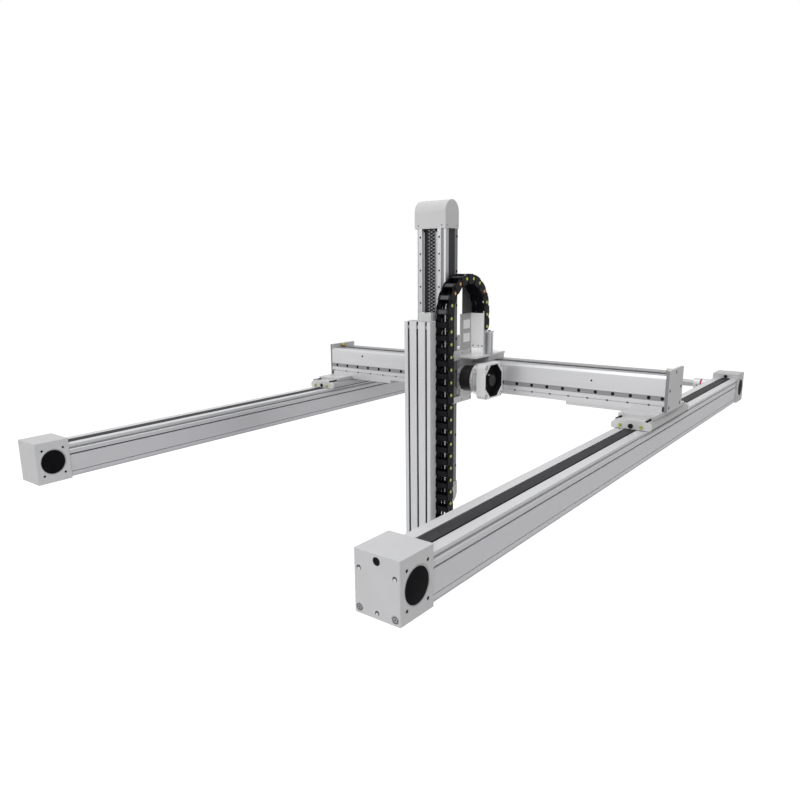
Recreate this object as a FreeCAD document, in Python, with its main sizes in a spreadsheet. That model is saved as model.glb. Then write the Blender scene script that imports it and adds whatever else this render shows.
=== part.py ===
import FreeCAD, Part
import math
import os
import Sketcher

# Gantry robot with two long belt driven modules, a crossbeam and a two stage telescopic Z axis.
# Row frame in millimetres: X runs along the crossbeam, Y along the long modules, Z up. The origin lies
# between the four bolt holes under the end blocks, at the level of the blocks' underside.

doc = FreeCAD.newDocument("gantry_robot")
sheet = doc.addObject("Spreadsheet::Sheet", "Sizes")

DRIVING_SIZES = {
    # Layout
    "module_spacing": 1400,
    "module_length": 2640,
    "gantry_place": 193,
    "column_place": -60,
    "running_gap": 0.3,
    "side_gap": 1,
    # End blocks of the long modules
    "block_width": 110,
    "block_depth": 106,
    "block_height": 130,
    "block_chamfer": 1.5,
    "base_hole_radius": 5.1,
    "base_hole_depth": 14,
    "pulley_chamber_gap": 2,
    "face_hole_radius": 8.7,
    "face_hole_depth": 8,
    "face_hole_level": 116,
    "cover_radius": 40,
    "cover_depth": 3,
    "shaft_radius": 12.5,
    # Extruded profile of the long modules
    "profile_width": 100,
    "profile_base": 4,
    "profile_top": 108,
    "profile_wall": 10,
    "profile_roof": 10,
    "profile_slot": 42,
    "groove_depth": 7,
    "groove_taper": 2.5,
    "low_groove_start": 18,
    "low_groove_width": 15,
    "high_groove_start": 69,
    "high_groove_width": 9,
    "lip_start": 90,
    "lip_depth": 3,
    "lip_width": 8,
    # Toothed belts and their pulleys
    "belt_width": 32,
    "belt_thickness": 3,
    "pulley_radius": 40,
    "pulley_clearance": 0.05,
    "x_pulley_radius": 35,
    "x_pulley_shaft_radius": 8,
    # Rails and guide wagons
    "rail_height": 15,
    "rail_width": 15,
    "wagon_width": 34,
    "wagon_thickness": 20,
    "wagon_length": 70,
    "wagon_gap": 4,
    # Sliders on the long modules
    "slider_length": 420,
    "slider_width": 130,
    "slider_height": 27.7,
    "slider_bevel": 9,
    "slider_leg": 3.5,
    "slider_cap_length": 14,
    "slider_cap_rise": 4,
    "nipple_radius": 4,
    "nipple_length": 9,
    "nipple_spacing": 70,
    "boss_radius": 11,
    # Mount plates below the crossbeam
    "mount_plate_width": 120,
    "mount_plate_inset": 32,
    "mount_plate_thickness": 13,
    "mount_tongue_reach": 230,
    # Crossbeam
    "beam_overhang": 60,
    "beam_depth": 140,
    "beam_height": 121,
    "beam_wall": 10,
    "beam_bevel": 9,
    "beam_slot": 42,
    "band_start": 35.6,
    "band_width": 16.4,
    "band_depth": 2.5,
    "beam_line_level": 18,
    "beam_line_width": 2.4,
    "end_plate_thickness": 10,
    "end_plate_depth": 156,
    "end_plate_drop": 2,
    "end_plate_rise": 17.5,
    "end_plate_setback": 1,
    "ear_length": 62,
    "ear_thickness": 8,
    "ear_gap": 8,
    "bumper_radius": 8,
    "bumper_length": 20,
    "bumper_level": 9,
    # Cross shaft between the rear blocks
    "tube_radius": 15.5,
    "tube_wall": 3,
    "coupling_gap": 3,
    "hub_radius": 25,
    "inner_hub_length": 30,
    "spider_length": 8,
    "outer_hub_length": 52,
    # Slider and plates of the X axis
    "x_slider_length": 272,
    "x_slider_height": 19.7,
    "z_plate_thickness": 7.5,
    "z_plate_wing": 80,
    "z_plate_front": 24,
    "back_plate_thickness": 9,
    "back_plate_gap": 2,
    "post_width": 28,
    "post_place_x": 70,
    "post_height": 83,
    "post_cap_thickness": 7,
    # Drive housing behind the Z column
    "housing_front": -25,
    "housing_base": 114,
    "housing_height": 205,
    "housing_wall": 5,
    "lower_plate_height": 25,
    "upper_plate_height": 38,
    "housing_window_back": 32,
    "upper_wagon_rise": 15,
    "lower_wagon_rise": 5,
    "pinion_level": 210,
    "pinion_width": 20,
    "pinion_shaft_radius": 8.5,
    "tooth_module": 2.5,
    "pinion_teeth": 20,
    "pressure_angle": 20,
    "tooth_backlash": 0.3,
    "rack_foot": 7.4,
    "rack_width": 18,
    "rack_bottom": -100,
    "rack_top": 275,
    # Planetary gearbox and its empty motor flange
    "gearbox_flange_length": 15,
    "gearbox_flange_size": 84,
    "gear_ring_radius": 49.5,
    "gear_ring_length": 54,
    "gear_body_radius": 61,
    "gear_body_length": 34,
    "motor_flange_length": 37,
    "motor_flange_width": 132,
    "motor_flange_corner": 12,
    "motor_flange_floor": 12,
    "motor_recess_width": 122,
    "motor_recess_corner": 36,
    "motor_hole_radius": 4.5,
    "motor_hole_inset": 11,
    "input_hub_radius": 22,
    "input_bore_radius": 12,
    "input_hub_length": 18,
    # Sheet bracket and its windows
    "sheet_thickness": 3,
    "bracket_reach": 58,
    "bracket_height": 138,
    "bracket_window_width": 46,
    "bracket_window_height": 34,
    "low_window_rise": 28,
    "high_window_rise": 80,
    # Z column
    "column_width": 128,
    "column_front": -68,
    "column_back": 14.5,
    "column_bottom": -205,
    "column_length": 978,
    "column_wall": 4,
    "side_band_front": -46,
    "side_band_width": 41,
    "side_band_depth": 3,
    "channel_left": -88,
    "channel_right": -39,
    "channel_depth": 9,
    "front_rail_height": 11,
    "front_rail_seat": 3,
    "front_rail_spacing": 84.6,
    "rear_rail_spacing": 92,
    "column_wagon_length": 42,
    "cap_overhang": 6,
    "cap_radius": 44,
    "cap_wall": 2.5,
    "cap_room_gap": 4,
    "top_cap_straight": 58,
    "bottom_cap_straight": 42,
    "lift_chain_width": 36,
    "lift_chain_thickness": 6,
    "sprocket_radius": 32.5,
    # Lower stage, the arm
    "arm_width": 118,
    "arm_depth": 55,
    "arm_top": 440,
    "arm_length": 880,
    "arm_wall": 7,
    "arm_groove_spacing": 39.5,
    "arm_groove_width": 9,
    "arm_groove_depth": 6,
    "arm_slider_thickness": 14,
    "arm_slider_length": 140,
    "arm_slider_side": 18,
    "arm_wagon_inset": 8,
    "front_wagon_depth": 20,
    "anchor_left": -86,
    "anchor_right": -30,
    "anchor_height": 28,
    "tool_plate_thickness": 12,
    "tool_hole_radius": 4.5,
    "tool_hole_spacing_x": 90,
    "tool_hole_spacing_y": 30,
    # Energy chain
    "chain_pitch": 47,
    "chain_radius": 125,
    "chain_centre_y": 12,
    "chain_centre_z": 467.5,
    "chain_width": 58,
    "chain_height": 37,
    "chain_side": 3,
    "chain_web": 17,
    "chain_bar_thickness": 4,
    "chain_bracket_thickness": 4,
    "chain_foot_rise": 40,
}

for row, (alias, number) in enumerate(DRIVING_SIZES.items(), start=1):
    sheet.set("A%d" % row, alias)
    sheet.set("B%d" % row, str(number))
    sheet.setAlias("B%d" % row, alias)
doc.recompute()


class Size:
    """A length from the sheet, or a sum or product of such lengths, with the expression that binds it."""

    def __init__(self, text, value):
        self.text = text
        self.value = value

    def __float__(self):
        return self.value

    def __add__(self, other):
        other = as_size(other)
        return Size("(%s + %s)" % (self.text, other.text), self.value + other.value)

    def __sub__(self, other):
        other = as_size(other)
        return Size("(%s - %s)" % (self.text, other.text), self.value - other.value)

    def __mul__(self, factor):
        factor = as_size(factor)
        return Size("(%s * %s)" % (self.text, factor.text), self.value * factor.value)

    def __truediv__(self, divisor):
        divisor = as_size(divisor)
        return Size("(%s / %s)" % (self.text, divisor.text), self.value / divisor.value)

    def __radd__(self, other):
        return as_size(other) + self

    def __rsub__(self, other):
        return as_size(other) - self

    def __rmul__(self, other):
        return as_size(other) * self

    def __neg__(self):
        return as_size(0) - self


class SheetSizes:
    """Every alias of the sheet as a Size."""

    def __getattr__(self, alias):
        return Size("Sizes." + alias, float(sheet.get(alias)))


def as_size(number):
    if isinstance(number, Size):
        return number
    return Size("(%r)" % float(number), float(number))


d = SheetSizes()
SIDES = {"left": -1, "right": 1}
ENDS = {"front": -1, "rear": 1}
parts = []


# Sketches and features

PLANES = {"X": ("YZ_Plane", 1), "Y": ("XZ_Plane", -1), "Z": ("XY_Plane", 1)}
AXES = {"X": FreeCAD.Vector(1, 0, 0), "Y": FreeCAD.Vector(0, 1, 0), "Z": FreeCAD.Vector(0, 0, 1)}


def new_body(label):
    body = doc.addObject("PartDesign::Body", label)
    body.Label = label
    parts.append(body)
    return body


def new_sketch(body, axis, level, centre=(0, 0)):
    """A sketch square to an axis at a level along it, with its own origin at a point of that plane."""
    role, sense = PLANES[axis]
    sketch = body.newObject("Sketcher::SketchObject", body.Label + "_sketch")
    plane = [feature for feature in body.Origin.OriginFeatures if feature.Role == role][0]
    sketch.AttachmentSupport = [(plane, "")]
    sketch.MapMode = "FlatFace"
    sketch.setExpression("AttachmentOffset.Base.x", as_size(centre[0]).text)
    sketch.setExpression("AttachmentOffset.Base.y", as_size(centre[1]).text)
    sketch.setExpression("AttachmentOffset.Base.z", (as_size(level) * sense).text)
    return sketch


def draw_outline(sketch, points):
    """A closed outline of straight edges with every corner bound to the sheet."""
    points = [(as_size(u), as_size(v)) for u, v in points]
    count = len(points)
    corners = [FreeCAD.Vector(u.value, v.value, 0) for u, v in points]
    lines = [Part.LineSegment(corners[i], corners[(i + 1) % count]) for i in range(count)]
    first = sketch.addGeometry(lines)[0]
    for i in range(count):
        sketch.addConstraint(Sketcher.Constraint("Coincident", first + i, 2, first + (i + 1) % count, 1))
    for i, (u, v) in enumerate(points):
        bind(sketch, "DistanceX", first + i, 1, u)
        bind(sketch, "DistanceY", first + i, 1, v)


def draw_circle(sketch, centre, radius):
    u, v, radius = as_size(centre[0]), as_size(centre[1]), as_size(radius)
    middle = FreeCAD.Vector(u.value, v.value, 0)
    index = sketch.addGeometry(Part.Circle(middle, FreeCAD.Vector(0, 0, 1), radius.value))
    bind(sketch, "DistanceX", index, 3, u)
    bind(sketch, "DistanceY", index, 3, v)
    number = sketch.addConstraint(Sketcher.Constraint("Radius", index, radius.value))
    sketch.setExpression("Constraints[%d]" % number, radius.text)


def bind(sketch, kind, geometry, point, size):
    number = sketch.addConstraint(Sketcher.Constraint(kind, geometry, point, size.value))
    sketch.setExpression("Constraints[%d]" % number, size.text)


def draw_all(sketch, outlines, circles):
    for points in outlines:
        draw_outline(sketch, points)
    for centre, radius in circles:
        draw_circle(sketch, centre, radius)


def pad(body, axis, start, end, outlines=(), circles=()):
    """Adds the drawn shape to the body from start to end along the axis."""
    base = end if PLANES[axis][1] < 0 else start
    sketch = new_sketch(body, axis, base)
    draw_all(sketch, outlines, circles)
    feature = body.newObject("PartDesign::Pad", body.Label + "_pad")
    feature.Profile = sketch
    feature.setExpression("Length", (as_size(end) - start).text)
    return feature


def pocket(body, axis, start, end, outlines=(), circles=()):
    """Cuts the drawn shape out of the body from start to end along the axis."""
    base = start if PLANES[axis][1] < 0 else end
    sketch = new_sketch(body, axis, base)
    draw_all(sketch, outlines, circles)
    feature = body.newObject("PartDesign::Pocket", body.Label + "_pocket")
    feature.Profile = sketch
    feature.setExpression("Length", (as_size(end) - start).text)
    return feature


def turn(body, axis, centre, profile):
    """Revolves a profile of (place along the axis, radius) points about an axis through the centre."""
    x, y, z = centre
    if axis == "X":
        sketch = new_sketch(body, "Y", y, (0, z))
        points, line = profile, "H_Axis"
    elif axis == "Y":
        sketch = new_sketch(body, "X", x, (0, z))
        points, line = profile, "H_Axis"
    else:
        sketch = new_sketch(body, "Y", y, (x, 0))
        points, line = [(radius, place) for place, radius in profile], "V_Axis"
    draw_outline(sketch, points)
    feature = body.newObject("PartDesign::Revolution", body.Label + "_turned")
    feature.Profile = sketch
    feature.ReferenceAxis = (sketch, [line])
    feature.Angle = 360
    return feature


def bevel_edges(body, feature, size, axis, accept=lambda middle: True):
    """Chamfers the straight edges along one axis whose middle is accepted."""
    doc.recompute()
    direction = AXES[axis]
    names = []
    for number, edge in enumerate(feature.Shape.Edges, start=1):
        if not isinstance(edge.Curve, Part.Line):
            continue
        if abs(edge.tangentAt(edge.FirstParameter).dot(direction)) < 0.999:
            continue
        if accept(edge.CenterOfMass):
            names.append("Edge%d" % number)
    chamfer = body.newObject("PartDesign::Chamfer", body.Label + "_bevel")
    chamfer.Base = (feature, names)
    chamfer.setExpression("Size", as_size(size).text)
    return chamfer


def rectangle(u0, u1, v0, v1):
    return [(u0, v0), (u1, v0), (u1, v1), (u0, v1)]


def mirrored(half):
    """A closed outline from its right half, given from bottom to top beside the axis of symmetry."""
    return half + [(-u, v) for u, v in reversed(half)]


def shifted(points, du, dv=0):
    return [(as_size(u) + du, as_size(v) + dv) for u, v in points]


def group(label, solids):
    """One node made of separate solids."""
    feature = doc.addObject("Part::Feature", label)
    feature.Label = label
    feature.Shape = Part.Compound(solids)
    feature.Placement = FreeCAD.Placement()
    parts.append(feature)
    return feature


def joined(label, bodies):
    """One node for repeated bodies, which stay separate solids in it."""
    for body in bodies:
        parts.remove(body)
    compound = doc.addObject("Part::Compound", label)
    compound.Label = label
    compound.Links = bodies
    parts.append(compound)
    return compound


def vector(x, y, z):
    return FreeCAD.Vector(float(x), float(y), float(z))


def rod(axis, start, radius, length):
    return Part.makeCylinder(float(radius), float(length), start, AXES[axis])


def ring(axis, start, outer, inner, length):
    return rod(axis, start, outer, length).cut(rod(axis, start, inner, length))


def block(x0, x1, y0, y1, z0, z1):
    return Part.makeBox(float(x1 - x0), float(y1 - y0), float(z1 - z0), vector(x0, y0, z0))


def hexagon_head(axis, face, radius, height, sense=1):
    """A six-sided head on a face, its corners on the radius."""
    direction = AXES[axis] * sense
    side = FreeCAD.Vector(direction.y, direction.z, direction.x) * float(radius)
    corners = [face + FreeCAD.Rotation(direction, 60 * step).multVec(side) for step in range(7)]
    return Part.Face(Part.makePolygon(corners)).extrude(direction * float(height))


# Places shared by several pieces

half_spacing = d.module_spacing / 2
half_length = d.module_length / 2
block_centre = half_length - d.block_depth / 2
pulley_level = d.block_height / 2
belt_top = pulley_level + d.pulley_radius + d.belt_thickness
gantry_y = d.gantry_place
beam_half = half_spacing + d.beam_overhang
slider_base = d.profile_top + d.running_gap
slider_top = slider_base + d.slider_height
plate_top = slider_top + d.mount_plate_thickness
beam_front = gantry_y - d.beam_depth / 2
beam_back = gantry_y + d.beam_depth / 2
beam_top = plate_top + d.beam_height
column_x = d.column_place
x_slider_top = beam_top + d.running_gap + d.x_slider_height
z_plate_top = x_slider_top + d.z_plate_thickness
housing_top = d.housing_base + d.housing_height
housing_back = beam_front - d.back_plate_thickness - d.back_plate_gap
column_top = d.column_bottom + d.column_length
pitch_radius = d.tooth_module * d.pinion_teeth / 2
rack_pitch_line = d.column_back + d.rack_foot + d.tooth_module * 1.25
pinion_y = rack_pitch_line + pitch_radius
housing_left = column_x - d.column_width / 2 - d.housing_wall
housing_right = column_x + d.column_width / 2 + d.housing_wall
rear_wagon_front = d.column_back + d.wagon_gap


# Long modules

def rail_profile(side):
    """Hollow extrusion with side grooves, a stepped lip and the belt slot along its top."""
    half = d.profile_width / 2
    low_end = d.low_groove_start + d.low_groove_width
    high_end = d.high_groove_start + d.high_groove_width
    lip_end = d.lip_start + d.lip_width
    slot = d.profile_slot / 2
    outer_half = [
        (half, d.profile_base),
        (half, d.low_groove_start),
        (half - d.groove_depth, d.low_groove_start + d.groove_taper),
        (half - d.groove_depth, low_end - d.groove_taper),
        (half, low_end),
        (half, d.high_groove_start),
        (half - d.groove_depth, d.high_groove_start + d.groove_taper),
        (half - d.groove_depth, high_end - d.groove_taper),
        (half, high_end),
        (half, d.lip_start),
        (half - d.lip_depth, d.lip_start + d.groove_taper),
        (half - d.lip_depth, lip_end),
        (half, lip_end + d.groove_taper),
        (half, d.profile_top),
        (slot, d.profile_top),
        (slot, d.profile_top - d.profile_roof),
        (half - d.profile_wall, d.profile_top - d.profile_roof),
        (half - d.profile_wall, d.profile_base + d.profile_wall),
    ]
    body = new_body(side + "_rail_profile")
    place = half_spacing * SIDES[side]
    reach = half_length - d.block_depth
    outline = shifted(mirrored(outer_half), place)
    pad(body, "Y", -reach, reach, [outline])
    return body


def covered_sides(side, end):
    """The sides of a block with a bearing cover; the cross shaft leaves the rear blocks on the inner one."""
    return [sense for sense in SIDES.values() if end == "front" or sense == SIDES[side]]


def end_block(side, end):
    """Machined block with the pulley chamber, its shaft bore, the cover seats and the base hole."""
    body = new_body("%s_%s_block" % (side, end))
    x = half_spacing * SIDES[side]
    y = block_centre * ENDS[end]
    half_x = d.block_width / 2
    half_y = d.block_depth / 2
    feature = pad(body, "Z", 0, d.block_height, [rectangle(x - half_x, x + half_x, y - half_y, y + half_y)])
    bevel_edges(body, feature, d.block_chamfer, "Z")
    chamber = d.pulley_radius + d.belt_thickness + d.pulley_chamber_gap
    width = d.belt_width / 2 + d.pulley_chamber_gap
    inner_face = y - half_y * ENDS[end]
    low, high = pulley_level - chamber, pulley_level + chamber
    pocket(body, "X", x - width, x + width, circles=[((y, pulley_level), chamber)])
    channel = [(inner_face, low), (y, low), (y, high), (inner_face, high)]
    pocket(body, "X", x - width, x + width, [channel])
    bore = ((y, pulley_level), d.shaft_radius + d.pulley_clearance)
    pocket(body, "X", x - half_x, x + half_x, circles=[bore])
    for sense in covered_sides(side, end):
        outer = x + half_x * sense
        inner = outer - d.cover_depth * sense
        start, finish = (inner, outer) if sense > 0 else (outer, inner)
        pocket(body, "X", start, finish, circles=[((y, pulley_level), d.cover_radius + d.running_gap)])
    pocket(body, "Z", 0, d.base_hole_depth, circles=[((x, y), d.base_hole_radius)])
    if (side, end) == ("right", "front"):
        hole = ((x, d.face_hole_level), d.face_hole_radius)
        pocket(body, "Y", y - half_y, y - half_y + d.face_hole_depth, circles=[hole])
    return body


def stadium(first, second, radius, lift_axis="X"):
    """A closed wire of two half circles and two straight runs, in the plane square to an axis."""
    along = (second - first).normalize()
    normal = AXES[lift_axis].cross(along)
    a0, a1 = first + normal * radius, first - normal * radius
    b0, b1 = second + normal * radius, second - normal * radius
    end_cap = Part.Arc(b0, second + along * radius, b1).toShape()
    start_cap = Part.Arc(a1, first - along * radius, a0).toShape()
    runs = [Part.LineSegment(a0, b0).toShape(), Part.LineSegment(b1, a1).toShape()]
    return Part.Wire(Part.__sortEdges__([runs[0], end_cap, runs[1], start_cap]))


def belt_loop(first, second, radius, thickness, width, axis):
    """A closed belt of even thickness round two pulleys."""
    outer = Part.Face(stadium(first, second, float(radius + thickness), axis))
    inner = Part.Face(stadium(first, second, float(radius), axis))
    band = outer.cut(inner)
    band.translate(AXES[axis] * (-float(width) / 2))
    return band.extrude(AXES[axis] * float(width))


def module_belts():
    """One toothed belt to a long module, seen as the dark strip along its top."""
    belts = []
    radius = d.pulley_radius + d.pulley_clearance
    for sense in SIDES.values():
        first = vector(half_spacing * sense, -block_centre, pulley_level)
        second = vector(half_spacing * sense, block_centre, pulley_level)
        belts.append(belt_loop(first, second, radius, d.belt_thickness, d.belt_width, "X"))
    group("module_belts", belts)


def pulley(label, axis, centre, sizes, start, end, width):
    """Pulley turned in one piece with its shaft; the sizes are the radius of each."""
    radius, shaft_radius = sizes
    middle = {"X": centre[0], "Y": centre[1]}[axis]
    half = width / 2
    body = new_body(label)
    profile = [
        (start, 0),
        (start, shaft_radius),
        (middle - half, shaft_radius),
        (middle - half, radius),
        (middle + half, radius),
        (middle + half, shaft_radius),
        (end, shaft_radius),
        (end, 0),
    ]
    turn(body, axis, centre, profile)
    return body


def module_pulleys():
    """Front pulleys end inside their blocks, the rear ones reach out to the couplings of the cross shaft."""
    inset = d.block_width / 2 - d.cover_depth - d.running_gap
    stub = d.block_width / 2 + d.coupling_gap
    sizes = (d.pulley_radius, d.shaft_radius)
    rear_pulleys = []
    for side, sense in SIDES.items():
        x = half_spacing * sense
        front = (x, -block_centre, pulley_level)
        pulley(side + "_front_pulley", "X", front, sizes, x - inset, x + inset, d.belt_width)
        rear = (x, block_centre, pulley_level)
        start = x - inset if sense < 0 else x - stub
        end = x + stub if sense < 0 else x + inset
        rear_pulleys.append(pulley(side + "_rear_pulley", "X", rear, sizes, start, end, d.belt_width))
    joined("rear_pulleys", rear_pulleys)


def bearing_covers():
    """Round covers let into the sides of the blocks over the ends of the pulley shafts."""
    solids = []
    for side in SIDES:
        for end in ENDS:
            for sense in covered_sides(side, end):
                outer = half_spacing * SIDES[side] + d.block_width / 2 * sense
                start = outer - d.cover_depth if sense > 0 else outer
                place = vector(start, block_centre * ENDS[end], pulley_level)
                solids.append(rod("X", place, d.cover_radius, d.cover_depth))
    group("bearing_covers", solids)


def side_rails(axis, middle, level, half_cavity, start, end):
    """Two guide rails on the facing walls of a hollow profile."""
    solids = []
    for sense in SIDES.values():
        wall = middle + half_cavity * sense
        tip = wall - d.rail_height * sense
        low, high = (tip, wall) if sense > 0 else (wall, tip)
        z0, z1 = level - d.rail_width / 2, level + d.rail_width / 2
        if axis == "Y":
            solids.append(block(low, high, start, end, z0, z1))
        else:
            solids.append(block(start, end, low, high, z0, z1))
    return solids


def side_wagons(axis, middle, level, half_cavity, places):
    """Guide wagons that wrap those rails with a running gap."""
    solids = []
    gap = d.running_gap
    for sense in SIDES.values():
        wall = middle + half_cavity * sense
        near = wall - d.wagon_gap * sense
        far = near - d.wagon_thickness * sense
        tip = wall - (d.rail_height + gap) * sense
        for place in places:
            start, end = place - d.wagon_length / 2, place + d.wagon_length / 2
            z0, z1 = level - d.wagon_width / 2, level + d.wagon_width / 2
            low, high = (far, near) if sense > 0 else (near, far)
            rail_low, rail_high = (tip, near + gap) if sense > 0 else (near - gap, tip)
            g0, g1 = level - d.rail_width / 2 - gap, level + d.rail_width / 2 + gap
            if axis == "Y":
                solid = block(low, high, start, end, z0, z1)
                rail = block(rail_low, rail_high, start, end, g0, g1)
            else:
                solid = block(start, end, low, high, z0, z1)
                rail = block(start, end, rail_low, rail_high, g0, g1)
            solids.append(solid.cut(rail))
    return solids


def slider_outline(half_width, half_cavity, base, height, bridge_low, bridge_high, cut_low, bevel):
    """Section of a slider: the plate over the profile, two legs past the belt, the bridge between wagons."""
    wagon_face = half_cavity - d.wagon_gap - d.wagon_thickness
    belt_side = d.belt_width / 2 + d.running_gap * 2.5
    leg = belt_side + d.slider_leg
    half = [
        (wagon_face, bridge_low),
        (wagon_face, bridge_high),
        (leg, bridge_high),
        (leg, base),
        (half_width, base),
        (half_width, base + height - bevel),
        (half_width - bevel, base + height),
    ]
    tunnel = rectangle(-belt_side, belt_side, cut_low, base + d.running_gap)
    return mirrored(half), tunnel


def module_slider(side):
    """Slider of a long module, with its bevelled plate and the belt tunnel below it."""
    body = new_body(side + "_slider")
    x = half_spacing * SIDES[side]
    half = d.slider_length / 2 - d.slider_cap_length
    cavity = d.profile_width / 2 - d.profile_wall
    wagon_half = d.wagon_width / 2
    roof = d.profile_top - d.profile_roof
    outline, tunnel = slider_outline(
        d.slider_width / 2, cavity, slider_base, d.slider_height,
        pulley_level - wagon_half, pulley_level + wagon_half, roof - d.pulley_chamber_gap, d.slider_bevel)
    pad(body, "Y", gantry_y - half, gantry_y + half, [shifted(outline, x), shifted(tunnel, x)])
    return body


def slider_end_caps():
    """Moulded end caps of the sliders, the front ones with a round hole over the belt."""
    caps = []
    for side, sense in SIDES.items():
        for end, way in ENDS.items():
            body = new_body("%s_%s_slider_cap" % (side, end))
            x = half_spacing * sense
            outer = gantry_y + d.slider_length / 2 * way
            inner = outer - d.slider_cap_length * way
            low, high = (outer, inner) if way < 0 else (inner, outer)
            half = d.slider_width / 2
            top = slider_top + d.slider_cap_rise
            shape = mirrored([
                (half - d.slider_bevel / 2, slider_base),
                (half, slider_base + d.slider_bevel / 2),
                (half, slider_top - d.slider_bevel),
                (half - d.slider_bevel * 2, top),
            ])
            pad(body, "Y", low, high, [shifted(shape, x)])
            if end == "front":
                hole = ((x, slider_base + d.boss_radius), d.face_hole_radius)
                pocket(body, "Y", outer, outer + d.slider_cap_length / 2, circles=[hole])
            caps.append(body)
    joined("slider_caps", caps)


def grease_nipples():
    """Two grease nipples on the front cap of each slider."""
    solids = []
    for sense in SIDES.values():
        for way in SIDES.values():
            x = half_spacing * sense + d.nipple_spacing / 2 * way
            y = gantry_y - d.slider_length / 2
            face = vector(x, y, slider_base + d.boss_radius)
            solids.append(hexagon_head("Y", face, d.nipple_radius, d.nipple_length, -1))
    group("grease_nipples", solids)


def mount_plate(side):
    """Plate on a slider with a tongue that runs inwards under the crossbeam."""
    sense = SIDES[side]
    body = new_body(side + "_mount_plate")
    x = half_spacing * sense
    half_w = d.mount_plate_width / 2
    half_l = d.slider_length / 2 - d.slider_cap_length - d.mount_plate_inset
    tip = x - (half_w + d.mount_tongue_reach) * sense
    outer = x + half_w * sense
    inner = x - half_w * sense
    outline = [
        (outer, gantry_y - half_l),
        (outer, gantry_y + half_l),
        (inner, gantry_y + half_l),
        (inner, beam_back),
        (tip, beam_back),
        (tip, beam_front),
        (inner, beam_front),
        (inner, gantry_y - half_l),
    ]
    feature = pad(body, "Z", slider_top, plate_top, [outline])
    limit = float(d.block_chamfer) * 2
    bevel_edges(body, feature, limit, "Z", lambda middle: abs(middle.x - float(inner)) > float(d.side_gap))
    return body


# Crossbeam

def crossbeam():
    """Hollow beam with a bevelled front edge, the holed band and a thin line on its front face."""
    body = new_body("crossbeam")
    wall = d.beam_wall
    band = plate_top + d.band_start
    line = plate_top + d.beam_line_level
    slot = d.beam_slot / 2
    outline = [
        (beam_front, plate_top),
        (beam_back, plate_top),
        (beam_back, beam_top),
        (gantry_y + slot, beam_top),
        (gantry_y + slot, beam_top - wall),
        (beam_back - wall, beam_top - wall),
        (beam_back - wall, plate_top + wall),
        (beam_front + wall, plate_top + wall),
        (beam_front + wall, beam_top - wall),
        (gantry_y - slot, beam_top - wall),
        (gantry_y - slot, beam_top),
        (beam_front + d.beam_bevel, beam_top),
        (beam_front, beam_top - d.beam_bevel),
        (beam_front, band + d.band_width),
        (beam_front + d.band_depth, band + d.band_width),
        (beam_front + d.band_depth, band),
        (beam_front, band),
        (beam_front, line + d.beam_line_width),
        (beam_front + d.beam_line_width, line + d.beam_line_width / 2),
        (beam_front, line),
    ]
    pad(body, "X", -beam_half, beam_half, [outline])
    return body


x_pulley_level = beam_top - d.belt_thickness * 1.5 - d.x_pulley_radius
x_pulley_x = beam_half - d.x_pulley_radius - d.belt_thickness - d.pulley_chamber_gap * 2


def end_plate(side):
    """End plate of the crossbeam with two ears inside the beam that carry the belt pulley."""
    sense = SIDES[side]
    body = new_body(side + "_end_plate")
    inner = beam_half * sense
    outer = inner + d.end_plate_thickness * sense
    low, high = (inner, outer) if sense > 0 else (outer, inner)
    front = beam_front + d.end_plate_setback
    foot, top = plate_top - d.end_plate_drop, beam_top + d.end_plate_rise
    pad(body, "X", low, high, [rectangle(front, front + d.end_plate_depth, foot, top)])
    ear_end = inner - d.ear_length * sense
    low, high = (inner, ear_end) if sense < 0 else (ear_end, inner)
    ear_top = beam_top - d.beam_wall - d.end_plate_drop
    ears = []
    for way in SIDES.values():
        near = gantry_y + (d.belt_width / 2 + d.ear_gap) * way
        far = near + d.ear_thickness * way
        ears.append(rectangle(near, far, x_pulley_level - d.x_pulley_radius, ear_top))
    pad(body, "X", low, high, ears)
    hole = ((x_pulley_x * sense, x_pulley_level), d.x_pulley_shaft_radius + d.pulley_clearance)
    pocket(body, "Y", beam_front, beam_back, circles=[hole])
    return body


def x_pulleys():
    reach = d.belt_width / 2 + d.ear_gap + d.ear_thickness
    for side, sense in SIDES.items():
        centre = (x_pulley_x * sense, gantry_y, x_pulley_level)
        sizes = (d.x_pulley_radius, d.x_pulley_shaft_radius)
        pulley("x_%s_pulley" % side, "Y", centre, sizes, gantry_y - reach, gantry_y + reach, d.belt_width)


def x_belt():
    radius = d.x_pulley_radius + d.pulley_clearance
    first = vector(-x_pulley_x, gantry_y, x_pulley_level)
    second = vector(x_pulley_x, gantry_y, x_pulley_level)
    group("x_drive_belt", [belt_loop(first, second, radius, d.belt_thickness, d.belt_width, "Y")])


def end_bumpers():
    """Brass stops above the beam on the inner side of each end plate."""
    solids = []
    for sense in SIDES.values():
        start = beam_half * sense if sense < 0 else beam_half - d.bumper_length
        face = vector(start, gantry_y, beam_top + d.bumper_level)
        solids.append(rod("X", face, d.bumper_radius, d.bumper_length))
    group("end_bumpers", solids)


# Cross shaft

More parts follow.
